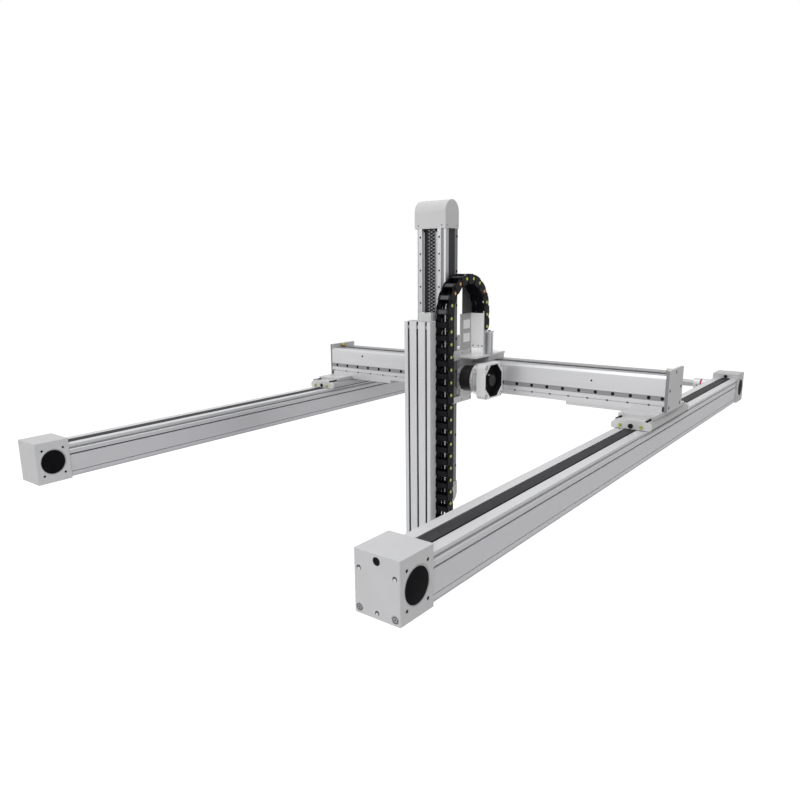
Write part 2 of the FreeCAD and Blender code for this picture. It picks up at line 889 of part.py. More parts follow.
def cross_shaft():
    """Tube between the couplings of both rear blocks, with jaw hubs and their soft spiders."""
    outer_end = half_spacing - d.block_width / 2 - d.coupling_gap
    spider_end = outer_end - d.outer_hub_length
    inner_end = spider_end - d.spider_length
    tube_end = inner_end - d.inner_hub_length
    y, z = block_centre, pulley_level
    tube = new_body("cross_shaft_tube")
    turn(tube, "X", (0, y, z), [
        (-tube_end, d.tube_radius - d.tube_wall), (-tube_end, d.tube_radius),
        (tube_end, d.tube_radius), (tube_end, d.tube_radius - d.tube_wall)])
    hubs, spiders = [], []
    for sense in SIDES.values():
        outer_hub = outer_end * sense if sense < 0 else spider_end
        inner_hub = inner_end * sense if sense < 0 else tube_end
        spider = spider_end * sense if sense < 0 else inner_end
        hubs.append(rod("X", vector(outer_hub, y, z), d.hub_radius, d.outer_hub_length))
        hubs.append(rod("X", vector(inner_hub, y, z), d.hub_radius, d.inner_hub_length))
        spiders.append(rod("X", vector(spider, y, z), d.hub_radius - d.side_gap, d.spider_length))
    group("coupling_hubs", hubs)
    group("coupling_spiders", spiders)


# X carriage

def x_slider():
    """Slider on the crossbeam, on the same guide section as the long modules."""
    body = new_body("x_slider")
    half = d.x_slider_length / 2
    cavity = d.beam_depth / 2 - d.beam_wall
    wagon_half = d.wagon_width / 2
    level = x_pulley_level
    tunnel_low = beam_top - d.beam_wall - d.pulley_chamber_gap
    outline, tunnel = slider_outline(
        d.beam_depth / 2 - d.beam_bevel - d.side_gap, cavity, beam_top + d.running_gap, d.x_slider_height,
        level - wagon_half, level + wagon_half, tunnel_low, d.block_chamfer)
    pad(body, "X", column_x - half, column_x + half, [shifted(outline, gantry_y), shifted(tunnel, gantry_y)])
    return body


def z_mount_plate():
    """Plate on the X slider with a wing that reaches forward over the gearbox."""
    body = new_body("z_mount_plate")
    left = column_x - d.x_slider_length / 2
    right = column_x + d.x_slider_length / 2
    back = gantry_y + d.beam_depth / 2 - d.beam_bevel
    wing = housing_right + d.running_gap
    outline = [
        (left, housing_back),
        (wing, housing_back),
        (wing, d.z_plate_front),
        (d.z_plate_wing, d.z_plate_front),
        (d.z_plate_wing, back),
        (left, back),
    ]
    pad(body, "Z", x_slider_top, z_plate_top, [outline])
    return body


def back_plate():
    """Upright plate between the drive housing and the front of the crossbeam."""
    body = new_body("z_back_plate")
    back = housing_back + d.back_plate_thickness
    shape = rectangle(housing_left, housing_right, housing_back, back)
    pad(body, "Z", d.housing_base + d.lower_plate_height, x_slider_top, [shape])
    return body


def drive_housing():
    """Housing behind and beside the column, open towards it, with rooms for the wagons and the pinion."""
    body = new_body("drive_housing")
    gap = d.running_gap * 2
    inner_left = column_x - d.column_width / 2 - gap
    inner_right = column_x + d.column_width / 2 + gap
    shaft_room = d.column_back + d.rail_height + gap
    outline = [
        (housing_left, d.housing_front),
        (inner_left, d.housing_front),
        (inner_left, shaft_room),
        (inner_right, shaft_room),
        (inner_right, d.housing_front),
        (housing_right, d.housing_front),
        (housing_right, housing_back),
        (housing_left, housing_back),
    ]
    pad(body, "Z", d.housing_base, housing_top, [outline])
    window_low = d.housing_base + d.lower_plate_height
    window_high = housing_top - d.upper_plate_height
    window = rectangle(d.housing_front, d.housing_window_back, window_low, window_high)
    pocket(body, "X", housing_left, housing_right, [window])
    wagon_room = rectangle(inner_left, inner_right, shaft_room, rear_wagon_front + d.wagon_width + gap)
    room_top = d.pinion_level - pitch_radius / 2
    pocket(body, "Z", window_low + gap * 3, room_top, [wagon_room])
    side = d.pinion_width / 2 + gap * 5
    reach = pitch_radius + d.tooth_module * 2
    pinion_room = rectangle(shaft_room, pinion_y + reach, d.pinion_level - reach, d.pinion_level + reach)
    pocket(body, "X", column_x - side, column_x + side, [pinion_room])
    shaft = ((pinion_y, d.pinion_level), d.pinion_shaft_radius + d.pulley_clearance)
    pocket(body, "X", column_x - d.column_width / 2, housing_right, circles=[shaft])
    return body


def involute(base_radius, roll):
    return (base_radius * (math.cos(roll) + roll * math.sin(roll)),
            base_radius * (math.sin(roll) - roll * math.cos(roll)))


def pinion_outline(module, teeth, backlash):
    """Corner points of an involute gear of straight short edges, with a tooth centred on the first axis."""
    pitch_r = module * teeth / 2
    angle = math.radians(float(d.pressure_angle))
    base_r = pitch_r * math.cos(angle)
    tip_r = pitch_r + module
    root_r = pitch_r - 1.25 * module
    half_tooth = (math.pi * module / 2 - backlash) / 2 / pitch_r + math.tan(angle) - angle
    root_spread = 0.02
    last_roll = math.sqrt((tip_r / base_r) ** 2 - 1)
    flank = []
    for step in range(3):
        x, y = involute(base_r, last_roll * step / 2)
        flank.append((math.hypot(x, y), half_tooth - math.atan2(y, x)))
    points = []
    for tooth in range(teeth):
        centre = 2 * math.pi * tooth / teeth
        side = [(root_r, half_tooth + root_spread)] + flank
        points += [(radius, centre - turn_by) for radius, turn_by in side]
        points += [(radius, centre + turn_by) for radius, turn_by in reversed(side)]
    return points


def pinion():
    """Pinion with its shaft, its teeth in mesh with the rack on the column's back."""
    teeth = int(float(d.pinion_teeth))
    module = float(d.tooth_module)
    start = vector(column_x - d.pinion_width / 2, pinion_y, d.pinion_level)
    corners = []
    for radius, turn_by in pinion_outline(module, teeth, float(d.tooth_backlash) / 2):
        corners.append(start + FreeCAD.Vector(0, -radius * math.cos(turn_by), radius * math.sin(turn_by)))
    corners.append(corners[0])
    gear = Part.Face(Part.makePolygon(corners)).extrude(AXES["X"] * float(d.pinion_width))
    shaft_start = vector(housing_left + d.housing_wall, pinion_y, d.pinion_level)
    shaft = rod("X", shaft_start, d.pinion_shaft_radius, housing_right - housing_left - d.housing_wall)
    group("z_pinion", [gear.fuse(shaft)])


def rack():
    """Toothed rack on the column's back over the pinion's travel, a gap of it at the pinion's axis."""
    module = float(d.tooth_module)
    pitch = math.pi * module
    tip = float(rack_pitch_line) + module
    root = float(rack_pitch_line) - 1.25 * module
    slope = math.tan(math.radians(float(d.pressure_angle)))
    half = (pitch / 2 - float(d.tooth_backlash) / 2) / 2
    bottom, top = float(d.rack_bottom), float(d.rack_top)
    level = float(d.pinion_level)
    first = math.ceil((bottom - level) / pitch) + 1
    last = math.floor((top - level) / pitch) - 1
    points = [(float(d.column_back), bottom), (root, bottom)]
    for number in range(first, last):
        centre = level + pitch * (number + 0.5)
        points.append((root, centre - half - 1.25 * module * slope))
        points.append((tip, centre - half + module * slope))
        points.append((tip, centre + half - module * slope))
        points.append((root, centre + half + 1.25 * module * slope))
    points += [(root, top), (float(d.column_back), top)]
    left = float(column_x - d.rack_width / 2)
    corners = [FreeCAD.Vector(left, y, z) for y, z in points + points[:1]]
    group("z_rack", [Part.Face(Part.makePolygon(corners)).extrude(AXES["X"] * float(d.rack_width))])


def column_wagons():
    """Guide wagons on the two rear rails of the column, above and inside the drive housing."""
    solids = []
    gap = d.running_gap
    half = d.wagon_width / 2
    low_level = d.housing_base + d.lower_plate_height + d.lower_wagon_rise
    high_level = housing_top + d.upper_wagon_rise
    for sense in SIDES.values():
        x = column_x + d.rear_rail_spacing / 2 * sense
        for level in (low_level, high_level):
            y0 = rear_wagon_front
            solid = block(x - half, x + half, y0, y0 + d.wagon_width, level, level + d.column_wagon_length)
            rail = block(x - d.rail_width / 2 - gap, x + d.rail_width / 2 + gap, y0 - gap,
                         d.column_back + d.rail_height + gap, level, level + d.column_wagon_length)
            solids.append(solid.cut(rail))
    group("column_wagons", solids)


def guide_bracket():
    """L-shaped sheet on top of the drive housing that holds the upper wagon, with two windows."""
    body = new_body("guide_bracket")
    outer = column_x + d.rear_rail_spacing / 2 + d.wagon_width / 2 + d.sheet_thickness
    inner = outer - d.sheet_thickness
    front = rear_wagon_front + d.wagon_width / 2
    back = housing_back + d.sheet_thickness
    top = housing_top + d.bracket_height
    outline = [
        (inner, front),
        (outer, front),
        (outer, back - d.sheet_thickness),
        (outer + d.bracket_reach, back - d.sheet_thickness),
        (outer + d.bracket_reach, back),
        (inner, back),
    ]
    pad(body, "Z", housing_top, top, [outline])
    middle = (front + back) / 2 + d.wagon_gap
    windows = []
    for low in (housing_top + d.low_window_rise, housing_top + d.high_window_rise):
        windows.append(rectangle(middle - d.bracket_window_width / 2, middle + d.bracket_window_width / 2,
                                 low, low + d.bracket_window_height))
    pocket(body, "X", inner, outer, windows)
    return body


gearbox_x = housing_right
gear_ring_x = gearbox_x + d.gearbox_flange_length
gear_body_x = gear_ring_x + d.gear_ring_length
motor_x = gear_body_x + d.gear_body_length
motor_end = motor_x + d.motor_flange_length


def cut_corners(y, z, width, corner):
    """A square outline with cut corners round a centre in the YZ plane."""
    half = width / 2
    right_half = [
        (half - corner, -half), (half, corner - half), (half, half - corner), (half - corner, half)]
    return shifted(mirrored(right_half), y, z)


def gearbox():
    """Planetary gearbox: square output flange, dark gear ring, round body and the motor flange, which is open
    in front with an eight-sided recess between its four bolt lugs."""
    y, z = pinion_y, d.pinion_level
    flange = new_body("gearbox_flange")
    outline = cut_corners(y, z, d.gearbox_flange_size, d.motor_flange_corner)
    pad(flange, "X", gearbox_x, gear_ring_x, [outline])
    gear_ring = new_body("gear_ring")
    pad(gear_ring, "X", gear_ring_x, gear_body_x, circles=[((y, z), d.gear_ring_radius)])
    case = new_body("gearbox_body")
    pad(case, "X", gear_body_x, motor_x, circles=[((y, z), d.gear_body_radius)])
    motor = new_body("motor_flange")
    pad(motor, "X", motor_x, motor_end, [cut_corners(y, z, d.motor_flange_width, d.motor_flange_corner)])
    recess = cut_corners(y, z, d.motor_recess_width, d.motor_recess_corner)
    pocket(motor, "X", motor_x + d.motor_flange_floor, motor_end, [recess])
    offset = d.motor_flange_width / 2 - d.motor_hole_inset
    holes = []
    for dy in (-offset, offset):
        for dz in (-offset, offset):
            holes.append(((y + dy, z + dz), d.motor_hole_radius))
    pocket(motor, "X", motor_x + d.motor_flange_floor, motor_end, circles=holes)


def input_hub():
    """Clamp hub of the missing motor, bored for its shaft."""
    floor = motor_x + d.motor_flange_floor + d.running_gap
    body = new_body("input_hub")
    turn(body, "X", (0, pinion_y, d.pinion_level), [
        (floor, d.input_bore_radius),
        (floor, d.input_hub_radius),
        (floor + d.input_hub_length, d.input_hub_radius),
        (floor + d.input_hub_length, d.input_bore_radius),
    ])
    return body


chain_base = z_plate_top + d.post_height + d.post_cap_thickness
chain_left = column_x + d.column_width / 2 + d.side_gap
chain_right = chain_left + d.chain_width


# Z column

def column_profile():
    """Hollow extrusion with the chain channel in front, side bands and seats for the front rails."""
    body = new_body("column_profile")
    left = column_x - d.column_width / 2
    right = column_x + d.column_width / 2
    front, back = d.column_front, d.column_back
    seat = d.rail_width / 2
    rails = [column_x - d.front_rail_spacing / 2, column_x + d.front_rail_spacing / 2]
    band_back = d.side_band_front + d.side_band_width
    outline = [
        (left, front),
        (rails[0] - seat, front),
        (rails[0] - seat, front + d.front_rail_seat),
        (rails[0] + seat, front + d.front_rail_seat),
        (rails[0] + seat, front),
        (d.channel_left, front),
        (d.channel_left, front + d.channel_depth),
        (d.channel_right, front + d.channel_depth),
        (d.channel_right, front),
        (rails[1] - seat, front),
        (rails[1] - seat, front + d.front_rail_seat),
        (rails[1] + seat, front + d.front_rail_seat),
        (rails[1] + seat, front),
        (right, front),
        (right, d.side_band_front),
        (right - d.side_band_depth, d.side_band_front),
        (right - d.side_band_depth, band_back),
        (right, band_back),
        (right, back),
        (left, back),
        (left, band_back),
        (left + d.side_band_depth, band_back),
        (left + d.side_band_depth, d.side_band_front),
        (left, d.side_band_front),
    ]
    inset = d.column_wall * 4
    cavity_front = front + d.channel_depth + d.column_wall
    cavity = rectangle(left + inset, right - inset, cavity_front, back - d.column_wall)
    pad(body, "Z", d.column_bottom, column_top, [outline, cavity])
    return body


def column_side_bands():
    """Dark strips let into both sides of the column."""
    solids = []
    y0 = d.side_band_front
    for sense in SIDES.values():
        outer = column_x + d.column_width / 2 * sense
        inner = outer - d.side_band_depth * sense
        low, high = (inner, outer) if sense > 0 else (outer, inner)
        solids.append(block(low, high, y0, y0 + d.side_band_width, d.column_bottom, column_top))
    group("column_side_bands", solids)


def column_rails():
    """Two rails in front for the arm and two at the back for the drive housing."""
    solids = []
    half = d.rail_width / 2
    seat = d.column_front + d.front_rail_seat
    tip = seat - d.front_rail_height
    rear_tip = d.column_back + d.rail_height
    for sense in SIDES.values():
        x = column_x + d.front_rail_spacing / 2 * sense
        solids.append(block(x - half, x + half, tip, seat, d.column_bottom, column_top))
        x = column_x + d.rear_rail_spacing / 2 * sense
        solids.append(block(x - half, x + half, d.column_back, rear_tip, d.column_bottom, column_top))
    group("column_rails", solids)


sprocket_y = d.column_front + d.running_gap + d.lift_chain_thickness + d.sprocket_radius + d.pulley_clearance
top_sprocket_z = column_top + d.top_cap_straight
bottom_sprocket_z = d.column_bottom - d.bottom_cap_straight
lift_chain_x = d.channel_right - d.side_gap - d.lift_chain_width / 2


def half_round(centre_y, centre_z, radius, straight, sense):
    """An arch in the YZ plane: straight sides from its foot and a half circle over them."""
    radius = float(radius)
    middle = FreeCAD.Vector(0, float(centre_y), float(centre_z))
    foot = middle.z - float(straight) * sense
    left = FreeCAD.Vector(0, middle.y - radius, middle.z)
    right = FreeCAD.Vector(0, middle.y + radius, middle.z)
    arch = Part.Arc(left, middle + FreeCAD.Vector(0, 0, radius * sense), right).toShape()
    low_left = FreeCAD.Vector(0, left.y, foot)
    low_right = FreeCAD.Vector(0, right.y, foot)
    edges = [arch]
    edges.append(Part.LineSegment(right, low_right).toShape())
    edges.append(Part.LineSegment(low_right, low_left).toShape())
    edges.append(Part.LineSegment(low_left, left).toShape())
    return Part.Face(Part.Wire(edges))


def column_cap(label, centre_z, straight, sense):
    """Half round cap over a sprocket, hollow round the chain."""
    left = column_x - d.column_width / 2 - d.cap_overhang
    right = column_x + d.column_width / 2 + d.cap_overhang / 1.5
    shell = half_round(sprocket_y, centre_z, d.cap_radius, straight, sense)
    shell.translate(vector(left, 0, 0))
    shell = shell.extrude(AXES["X"] * float(right - left))
    room = half_round(sprocket_y, centre_z, d.cap_radius - d.cap_wall, straight, sense)
    half = d.lift_chain_width / 2 + d.cap_room_gap
    room.translate(vector(lift_chain_x - half, 0, 0))
    shell = shell.cut(room.extrude(AXES["X"] * float(half * 2)))
    shaft_start = column_x - d.column_width / 2 - d.running_gap
    bore = rod("X", vector(shaft_start, sprocket_y, centre_z), d.pinion_shaft_radius + d.pulley_clearance,
               d.column_width + d.running_gap * 2)
    group(label, [shell.cut(bore)])


def sprocket(label, centre_z):
    body = new_body(label)
    left = column_x - d.column_width / 2
    right = column_x + d.column_width / 2
    half = d.lift_chain_width / 2
    turn(body, "X", (0, sprocket_y, centre_z), [
        (left, 0),
        (left, d.pinion_shaft_radius),
        (lift_chain_x - half, d.pinion_shaft_radius),
        (lift_chain_x - half, d.sprocket_radius),
        (lift_chain_x + half, d.sprocket_radius),
        (lift_chain_x + half, d.pinion_shaft_radius),
        (right, d.pinion_shaft_radius),
        (right, 0),
    ])
    return body


def lift_chain():
    """Chain loop that pulls the arm, round both sprockets of the column."""
    radius = d.sprocket_radius + d.pulley_clearance
    first = vector(lift_chain_x, sprocket_y, bottom_sprocket_z)
    second = vector(lift_chain_x, sprocket_y, top_sprocket_z)
    loop = belt_loop(first, second, radius, d.lift_chain_thickness, d.lift_chain_width, "X")
    group("lift_chain", [loop])


# Arm

arm_right = column_x + d.column_width / 2 + d.side_gap
arm_left = arm_right - d.arm_width
arm_x = arm_right - d.arm_width / 2
front_rail_tip = d.column_front + d.front_rail_seat - d.front_rail_height
wagon_front = front_rail_tip - d.running_gap - d.front_wagon_depth
arm_back = wagon_front - d.arm_slider_thickness
arm_front = arm_back - d.arm_depth
arm_bottom = d.arm_top - d.arm_length


def arm_profile():
    """Hollow extrusion of the lower stage with three grooves along its front."""
    body = new_body("arm_profile")
    half = d.arm_groove_width / 2
    outline = [(arm_left, arm_back), (arm_left, arm_front)]
    for number in (-1, 0, 1):
        centre = arm_x + d.arm_groove_spacing * number
        outline += [
            (centre - half, arm_front),
            (centre - half, arm_front + d.arm_groove_depth),
            (centre + half, arm_front + d.arm_groove_depth),
            (centre + half, arm_front),
        ]
    outline += [(arm_right, arm_front), (arm_right, arm_back)]
    wall = d.arm_wall
    cavity_front = arm_front + d.arm_groove_depth + wall
    cavity = rectangle(arm_left + wall, arm_right - wall, cavity_front, arm_back - wall)
    pad(body, "Z", arm_bottom, d.arm_top, [outline, cavity])
    return body


def arm_slider():
    """Plate that carries the arm on the front rails, with the anchor of the lift chain on its top edge."""
    body = new_body("arm_slider")
    bottom = d.arm_top - d.arm_slider_length
    shape = rectangle(arm_left - d.arm_slider_side, arm_right, arm_back, wagon_front)
    feature = pad(body, "Z", bottom, d.arm_top, [shape])
    bevel_edges(body, feature, d.block_chamfer, "X")
    half = d.lift_chain_width / 2
    near = d.column_front - d.running_gap * 4
    anchor = [
        (d.anchor_left, arm_back),
        (d.anchor_right, arm_back),
        (d.anchor_right, wagon_front),
        (lift_chain_x + half, wagon_front),
        (lift_chain_x + half, near),
        (lift_chain_x - half, near),
        (lift_chain_x - half, wagon_front),
        (d.anchor_left, wagon_front),
    ]
    pad(body, "Z", d.arm_top - d.block_chamfer * 2, d.arm_top + d.anchor_height, [anchor])
    return body


def arm_wagons():
    solids = []
    gap = d.running_gap
    half = d.wagon_width / 2
    length = d.column_wagon_length
    bottom = d.arm_top - d.arm_slider_length + d.arm_wagon_inset
    for sense in SIDES.values():
        x = column_x + d.front_rail_spacing / 2 * sense
        for level in (d.arm_top - length - d.arm_wagon_inset, bottom):
            back = d.column_front - d.wagon_gap
            solid = block(x - half, x + half, wagon_front, back, level, level + length)
            rail = block(x - d.rail_width / 2 - gap, x + d.rail_width / 2 + gap,
                         front_rail_tip - gap, back + gap, level, level + length)
            solids.append(solid.cut(rail))
    group("arm_wagons", solids)


def tool_plate():
    """Plate under the arm with four holes for a gripper."""
    body = new_body("tool_plate")
    shape = rectangle(arm_left, arm_right, arm_front, arm_back)
    feature = pad(body, "Z", arm_bottom - d.tool_plate_thickness, arm_bottom, [shape])
    bevel_edges(body, feature, d.block_chamfer, "Z")
    middle = (arm_front + arm_back) / 2
    holes = []
    for dx in (-d.tool_hole_spacing_x / 2, d.tool_hole_spacing_x / 2):
        for dy in (-d.tool_hole_spacing_y / 2, d.tool_hole_spacing_y / 2):
            holes.append(((arm_x + dx, middle + dy), d.tool_hole_radius))
    pocket(body, "Z", arm_bottom - d.tool_plate_thickness, arm_bottom, circles=holes)
    return body


# Energy chain

def lap_end(radius, half, reach):
    """Half of a side plate: square at its web, and narrowed to corners on the radius round its pin."""
    low_half = [(reach, -half), (radius / 2, -half), (-radius * 0.8, -radius * 0.6)]
    return low_half + [(y, -z) for y, z in reversed(low_half)]


def chain_link():
    """One link along +Y from its pin. Its plates are cranked: the inner layer laps its own pin, the outer
    layer the next pin, and the web joins both layers and the two crossbars."""
    pitch = float(d.chain_pitch)
    half = float(d.chain_height) / 2
    side = float(d.chain_side)
    gap = float(d.running_gap)
    width = float(d.chain_width)
    web = float(d.chain_web)
    thickness = float(d.chain_bar_thickness)
    web_start = (pitch - web) / 2
    web_end = web_start + web
    end_radius = web_start - gap * 3
    inner_half = lap_end(end_radius, half, web_end)
    outer_half = [(pitch - y, z) for y, z in lap_end(end_radius, half, web_end)]
    solid = Part.makeBox(width, web, thickness, FreeCAD.Vector(0, web_start, -half))
    solid = solid.fuse(Part.makeBox(width, web, thickness, FreeCAD.Vector(0, web_start, half - thickness)))
    layers = [(0, outer_half), (side + gap, inner_half)]
    layers += [(width - side, outer_half), (width - side * 2 - gap, inner_half)]
    for left, outline in layers:
        corners = [FreeCAD.Vector(left, y, z) for y, z in outline + outline[:1]]
        solid = solid.fuse(Part.Face(Part.makePolygon(corners)).extrude(AXES["X"] * side))
    for left in (0, width - side * 2 - gap):
        corner = FreeCAD.Vector(left, web_start, -half)
        solid = solid.fuse(Part.makeBox(side * 2 + gap, web, half * 2, corner))
    return solid.removeSplitter()


def placed_link(link, start, end):
    """The link laid from one pin to the next, both points in the YZ plane."""
    angle = math.degrees(math.atan2(end[1] - start[1], end[0] - start[0]))
    copy = link.copy()
    base = FreeCAD.Vector(float(chain_left), start[0], start[1])
    copy.Placement = FreeCAD.Placement(base, FreeCAD.Rotation(AXES["X"], angle))
    return copy


def energy_chain():
    """Loop over the carriage and its two straight runs, one to the post and one down the arm as far as
    whole links fit. Gives the levels of the last pins on the arm and over the post."""
    link = chain_link()
    pitch = float(d.chain_pitch)
    radius = float(d.chain_radius)
    centre_y, centre_z = float(d.chain_centre_y), float(d.chain_centre_z)
    step = 2 * math.degrees(math.asin(pitch / 2 / radius))
    count = int(180 // step)
    first = (180 - (count - 1) * step) / 2
    pins = []
    for number in range(count):
        angle = math.radians(first + step * number)
        pins.append((centre_y - radius * math.cos(angle), centre_z + radius * math.sin(angle)))
    drop = math.sqrt(pitch ** 2 - (pins[0][0] - (centre_y - radius)) ** 2)
    low = pins[0][1] - drop
    front_y, back_y = centre_y - radius, centre_y + radius
    pins = [(front_y, low)] + pins + [(back_y, low)]
    group("chain_loop", [placed_link(link, pins[i], pins[i + 1]) for i in range(len(pins) - 1)])
    run = []
    foot = low
    while foot - pitch > float(arm_bottom + d.chain_foot_rise):
        run.append(placed_link(link, (front_y, foot - pitch), (front_y, foot)))
        foot -= pitch
    group("chain_arm_run", run)
    group("chain_fixed_run", [placed_link(link, (back_y, low), (back_y, low - pitch))])
    return foot, low - pitch


def end_cheeks(centre_y, low, pin_level):
    """Two cheeks between the plates of the last link, from a foot up past its pin."""
    inset = d.chain_side * 2 + d.running_gap * 2
    half = d.chain_height / 4
    top = pin_level + float(half)
    thickness = d.chain_bracket_thickness
    cheeks = []
    for left in (chain_left + inset, chain_right - inset - thickness):
        cheeks.append(block(left, left + thickness, centre_y - half, centre_y + half, low, top))
    return cheeks


def chain_brackets(arm_end, post_end):
    """The post that carries the chain's fixed end, and the bracket on the arm's side near its foot."""
    half = d.chain_height / 2
    thickness = d.chain_bracket_thickness
    back_y = d.chain_centre_y + d.chain_radius
    front_y = d.chain_centre_y - d.chain_radius
    post_half = d.post_width / 2
    post_top = z_plate_top + d.post_height
    left, right = d.post_place_x - post_half, d.post_place_x + post_half
    solid = block(left, right, back_y - post_half, back_y + post_half, z_plate_top, post_top)
    solid = solid.fuse(block(chain_left, right, back_y - half, back_y + half, post_top, chain_base))
    for cheek in end_cheeks(back_y, chain_base, post_end):
        solid = solid.fuse(cheek)
    group("chain_post", [solid.removeSplitter()])
    shelf_top = arm_end - float(half)
    shelf_low = shelf_top - float(thickness)
    solid = block(arm_right, chain_right, front_y - half, front_y + half, shelf_low, shelf_top)
    solid = solid.fuse(block(arm_right, arm_right + thickness, front_y - half, front_y + half,
                             shelf_top - float(half), shelf_top))
    for cheek in end_cheeks(front_y, shelf_top, arm_end):
        solid = solid.fuse(cheek)
    group("chain_arm_bracket", [solid.removeSplitter()])


def build():
    """Makes every part, from the long modules up to the arm and the energy chain."""
    inner = half_length - d.block_depth
    cavity = d.profile_width / 2 - d.profile_wall
    rails = []
    for sense in SIDES.values():
        rails += side_rails("Y", half_spacing * sense, pulley_level, cavity, -inner, inner)
    group("module_rails", rails)
    joined("rail_profiles", [rail_profile(side) for side in SIDES])
    for end in ENDS:
        joined(end + "_blocks", [end_block(side, end) for side in SIDES])
    module_belts()
    module_pulleys()
    bearing_covers()
    cross_shaft()
    wagons = []
    reach = d.slider_length / 2 - d.slider_cap_length - d.wagon_length / 2
    for sense in SIDES.values():
        places = (gantry_y - reach, gantry_y + reach)
        wagons += side_wagons("Y", half_spacing * sense, pulley_level, cavity, places)
    group("module_wagons", wagons)
    joined("module_sliders", [module_slider(side) for side in SIDES])
    joined("mount_plates", [mount_plate(side) for side in SIDES])
    slider_end_caps()
    grease_nipples()
    crossbeam()
    joined("beam_end_plates", [end_plate(side) for side in SIDES])
    x_pulleys()
    x_belt()
    end_bumpers()
    beam_cavity = d.beam_depth / 2 - d.beam_wall
    rail_end = beam_half - d.ear_length - d.ear_gap
    group("x_rails", side_rails("X", gantry_y, x_pulley_level, beam_cavity, -rail_end, rail_end))
    x_slider()
    reach = d.x_slider_length / 2 - d.wagon_length / 2
    places = (column_x - reach, column_x + reach)
    group("x_wagons", side_wagons("X", gantry_y, x_pulley_level, beam_cavity, places))
    z_mount_plate()
    back_plate()
    drive_housing()
    pinion()
    rack()
    column_wagons()
    guide_bracket()
    gearbox()
    input_hub()
    column_profile()
    column_side_bands()
    column_rails()
    column_cap("column_top_cap", top_sprocket_z, d.top_cap_straight, 1)
    column_cap("column_bottom_cap", bottom_sprocket_z, d.bottom_cap_straight, -1)
    sprocket("top_sprocket", top_sprocket_z)
    sprocket("bottom_sprocket", bottom_sprocket_z)
    lift_chain()
    arm_profile()
    arm_slider()
    arm_wagons()
    tool_plate()
    chain_brackets(*energy_chain())


def check_document():
    """Stops if a feature failed, a cut took nothing away or a part has no sound shape."""
    for item in doc.Objects:
        if "Invalid" in item.State or "Error" in item.State:
            raise RuntimeError("%s failed: %s" % (item.Label, item.State))
        if item.TypeId == "PartDesign::Pocket":
            if not item.Shape.Volume < item.BaseFeature.Shape.Volume - 1:
                raise RuntimeError("%s cuts nothing" % item.Name)
    for part in parts:
        if part.Shape.isNull() or not part.Shape.isValid() or part.Shape.Volume <= 0:
            raise RuntimeError("%s has no sound shape" % part.Label)


def write_parts():
    os.makedirs("parts", exist_ok=True)
    for part in parts:
        part.Shape.exportStep("parts/%s.step" % part.Label)


build()
doc.recompute()
check_document()
write_parts()
print("%d parts written" % len(parts))
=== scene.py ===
from itertools import product
from math import atan2, copysign, cos, pi, radians, sin

import bmesh
import bpy
from mathutils import Matrix, Vector


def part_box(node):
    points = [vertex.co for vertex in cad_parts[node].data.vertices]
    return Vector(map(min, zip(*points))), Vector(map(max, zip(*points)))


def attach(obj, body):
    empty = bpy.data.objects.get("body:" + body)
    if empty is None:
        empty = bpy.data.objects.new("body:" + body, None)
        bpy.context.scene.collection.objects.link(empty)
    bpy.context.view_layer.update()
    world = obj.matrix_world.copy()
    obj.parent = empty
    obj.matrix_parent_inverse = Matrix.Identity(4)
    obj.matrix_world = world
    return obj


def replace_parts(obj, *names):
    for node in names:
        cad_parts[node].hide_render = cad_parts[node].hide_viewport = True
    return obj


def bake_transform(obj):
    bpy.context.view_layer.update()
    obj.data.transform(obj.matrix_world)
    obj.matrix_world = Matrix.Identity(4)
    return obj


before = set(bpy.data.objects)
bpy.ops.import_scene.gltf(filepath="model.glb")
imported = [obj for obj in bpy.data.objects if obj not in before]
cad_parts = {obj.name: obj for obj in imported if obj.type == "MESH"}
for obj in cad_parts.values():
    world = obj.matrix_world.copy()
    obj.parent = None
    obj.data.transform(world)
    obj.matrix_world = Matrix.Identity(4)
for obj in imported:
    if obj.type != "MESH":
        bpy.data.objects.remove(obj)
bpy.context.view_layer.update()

# Gantry robot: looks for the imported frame, and the fittings that the solids leave out.
# Lengths in this file are millimetres of the row frame, and Shape turns them into metres.

MM = 0.001

# Materials

RELIEF_DEPTH = 0.0002
ROUGH_SPREAD = 0.15


def new_material(name):
    """A new material, its node tree and its shader."""
    material = bpy.data.materials.new(name)
    material.use_nodes = True
    tree = material.node_tree
    return material, tree, tree.nodes["Principled BSDF"]


def math_node(tree, operation, first, second=None):
    """Math node on a socket, and on a second socket or number where there is one."""
    node = tree.nodes.new("ShaderNodeMath")
    node.operation = operation
    tree.links.new(first, node.inputs[0])
    if isinstance(second, bpy.types.NodeSocket):
        tree.links.new(second, node.inputs[1])
    elif second is not None:
        node.inputs[1].default_value = second
    return node.outputs["Value"]


def noise(tree, stretch, scale, detail=4.0):
    """Noise that follows the object's own coordinates, stretched along a grain."""
    place = tree.nodes.new("ShaderNodeTexCoord")
    mapping = tree.nodes.new("ShaderNodeMapping")
    mapping.inputs["Scale"].default_value = stretch
    texture = tree.nodes.new("ShaderNodeTexNoise")
    texture.inputs["Scale"].default_value = scale
    texture.inputs["Detail"].default_value = detail
    tree.links.new(place.outputs["Object"], mapping.inputs["Vector"])
    tree.links.new(mapping.outputs["Vector"], texture.inputs["Vector"])
    return texture.outputs["Fac"]


def ramp(tree, value, low, high):
    """Colour between two others, by the middle part of a noise."""
    node = tree.nodes.new("ShaderNodeValToRGB")
    node.color_ramp.elements[0].position = 0.3
    node.color_ramp.elements[0].color = (*low, 1)
    node.color_ramp.elements[1].position = 0.7
    node.color_ramp.elements[1].color = (*high, 1)
    tree.links.new(value, node.inputs["Fac"])
    return node.outputs["Color"]


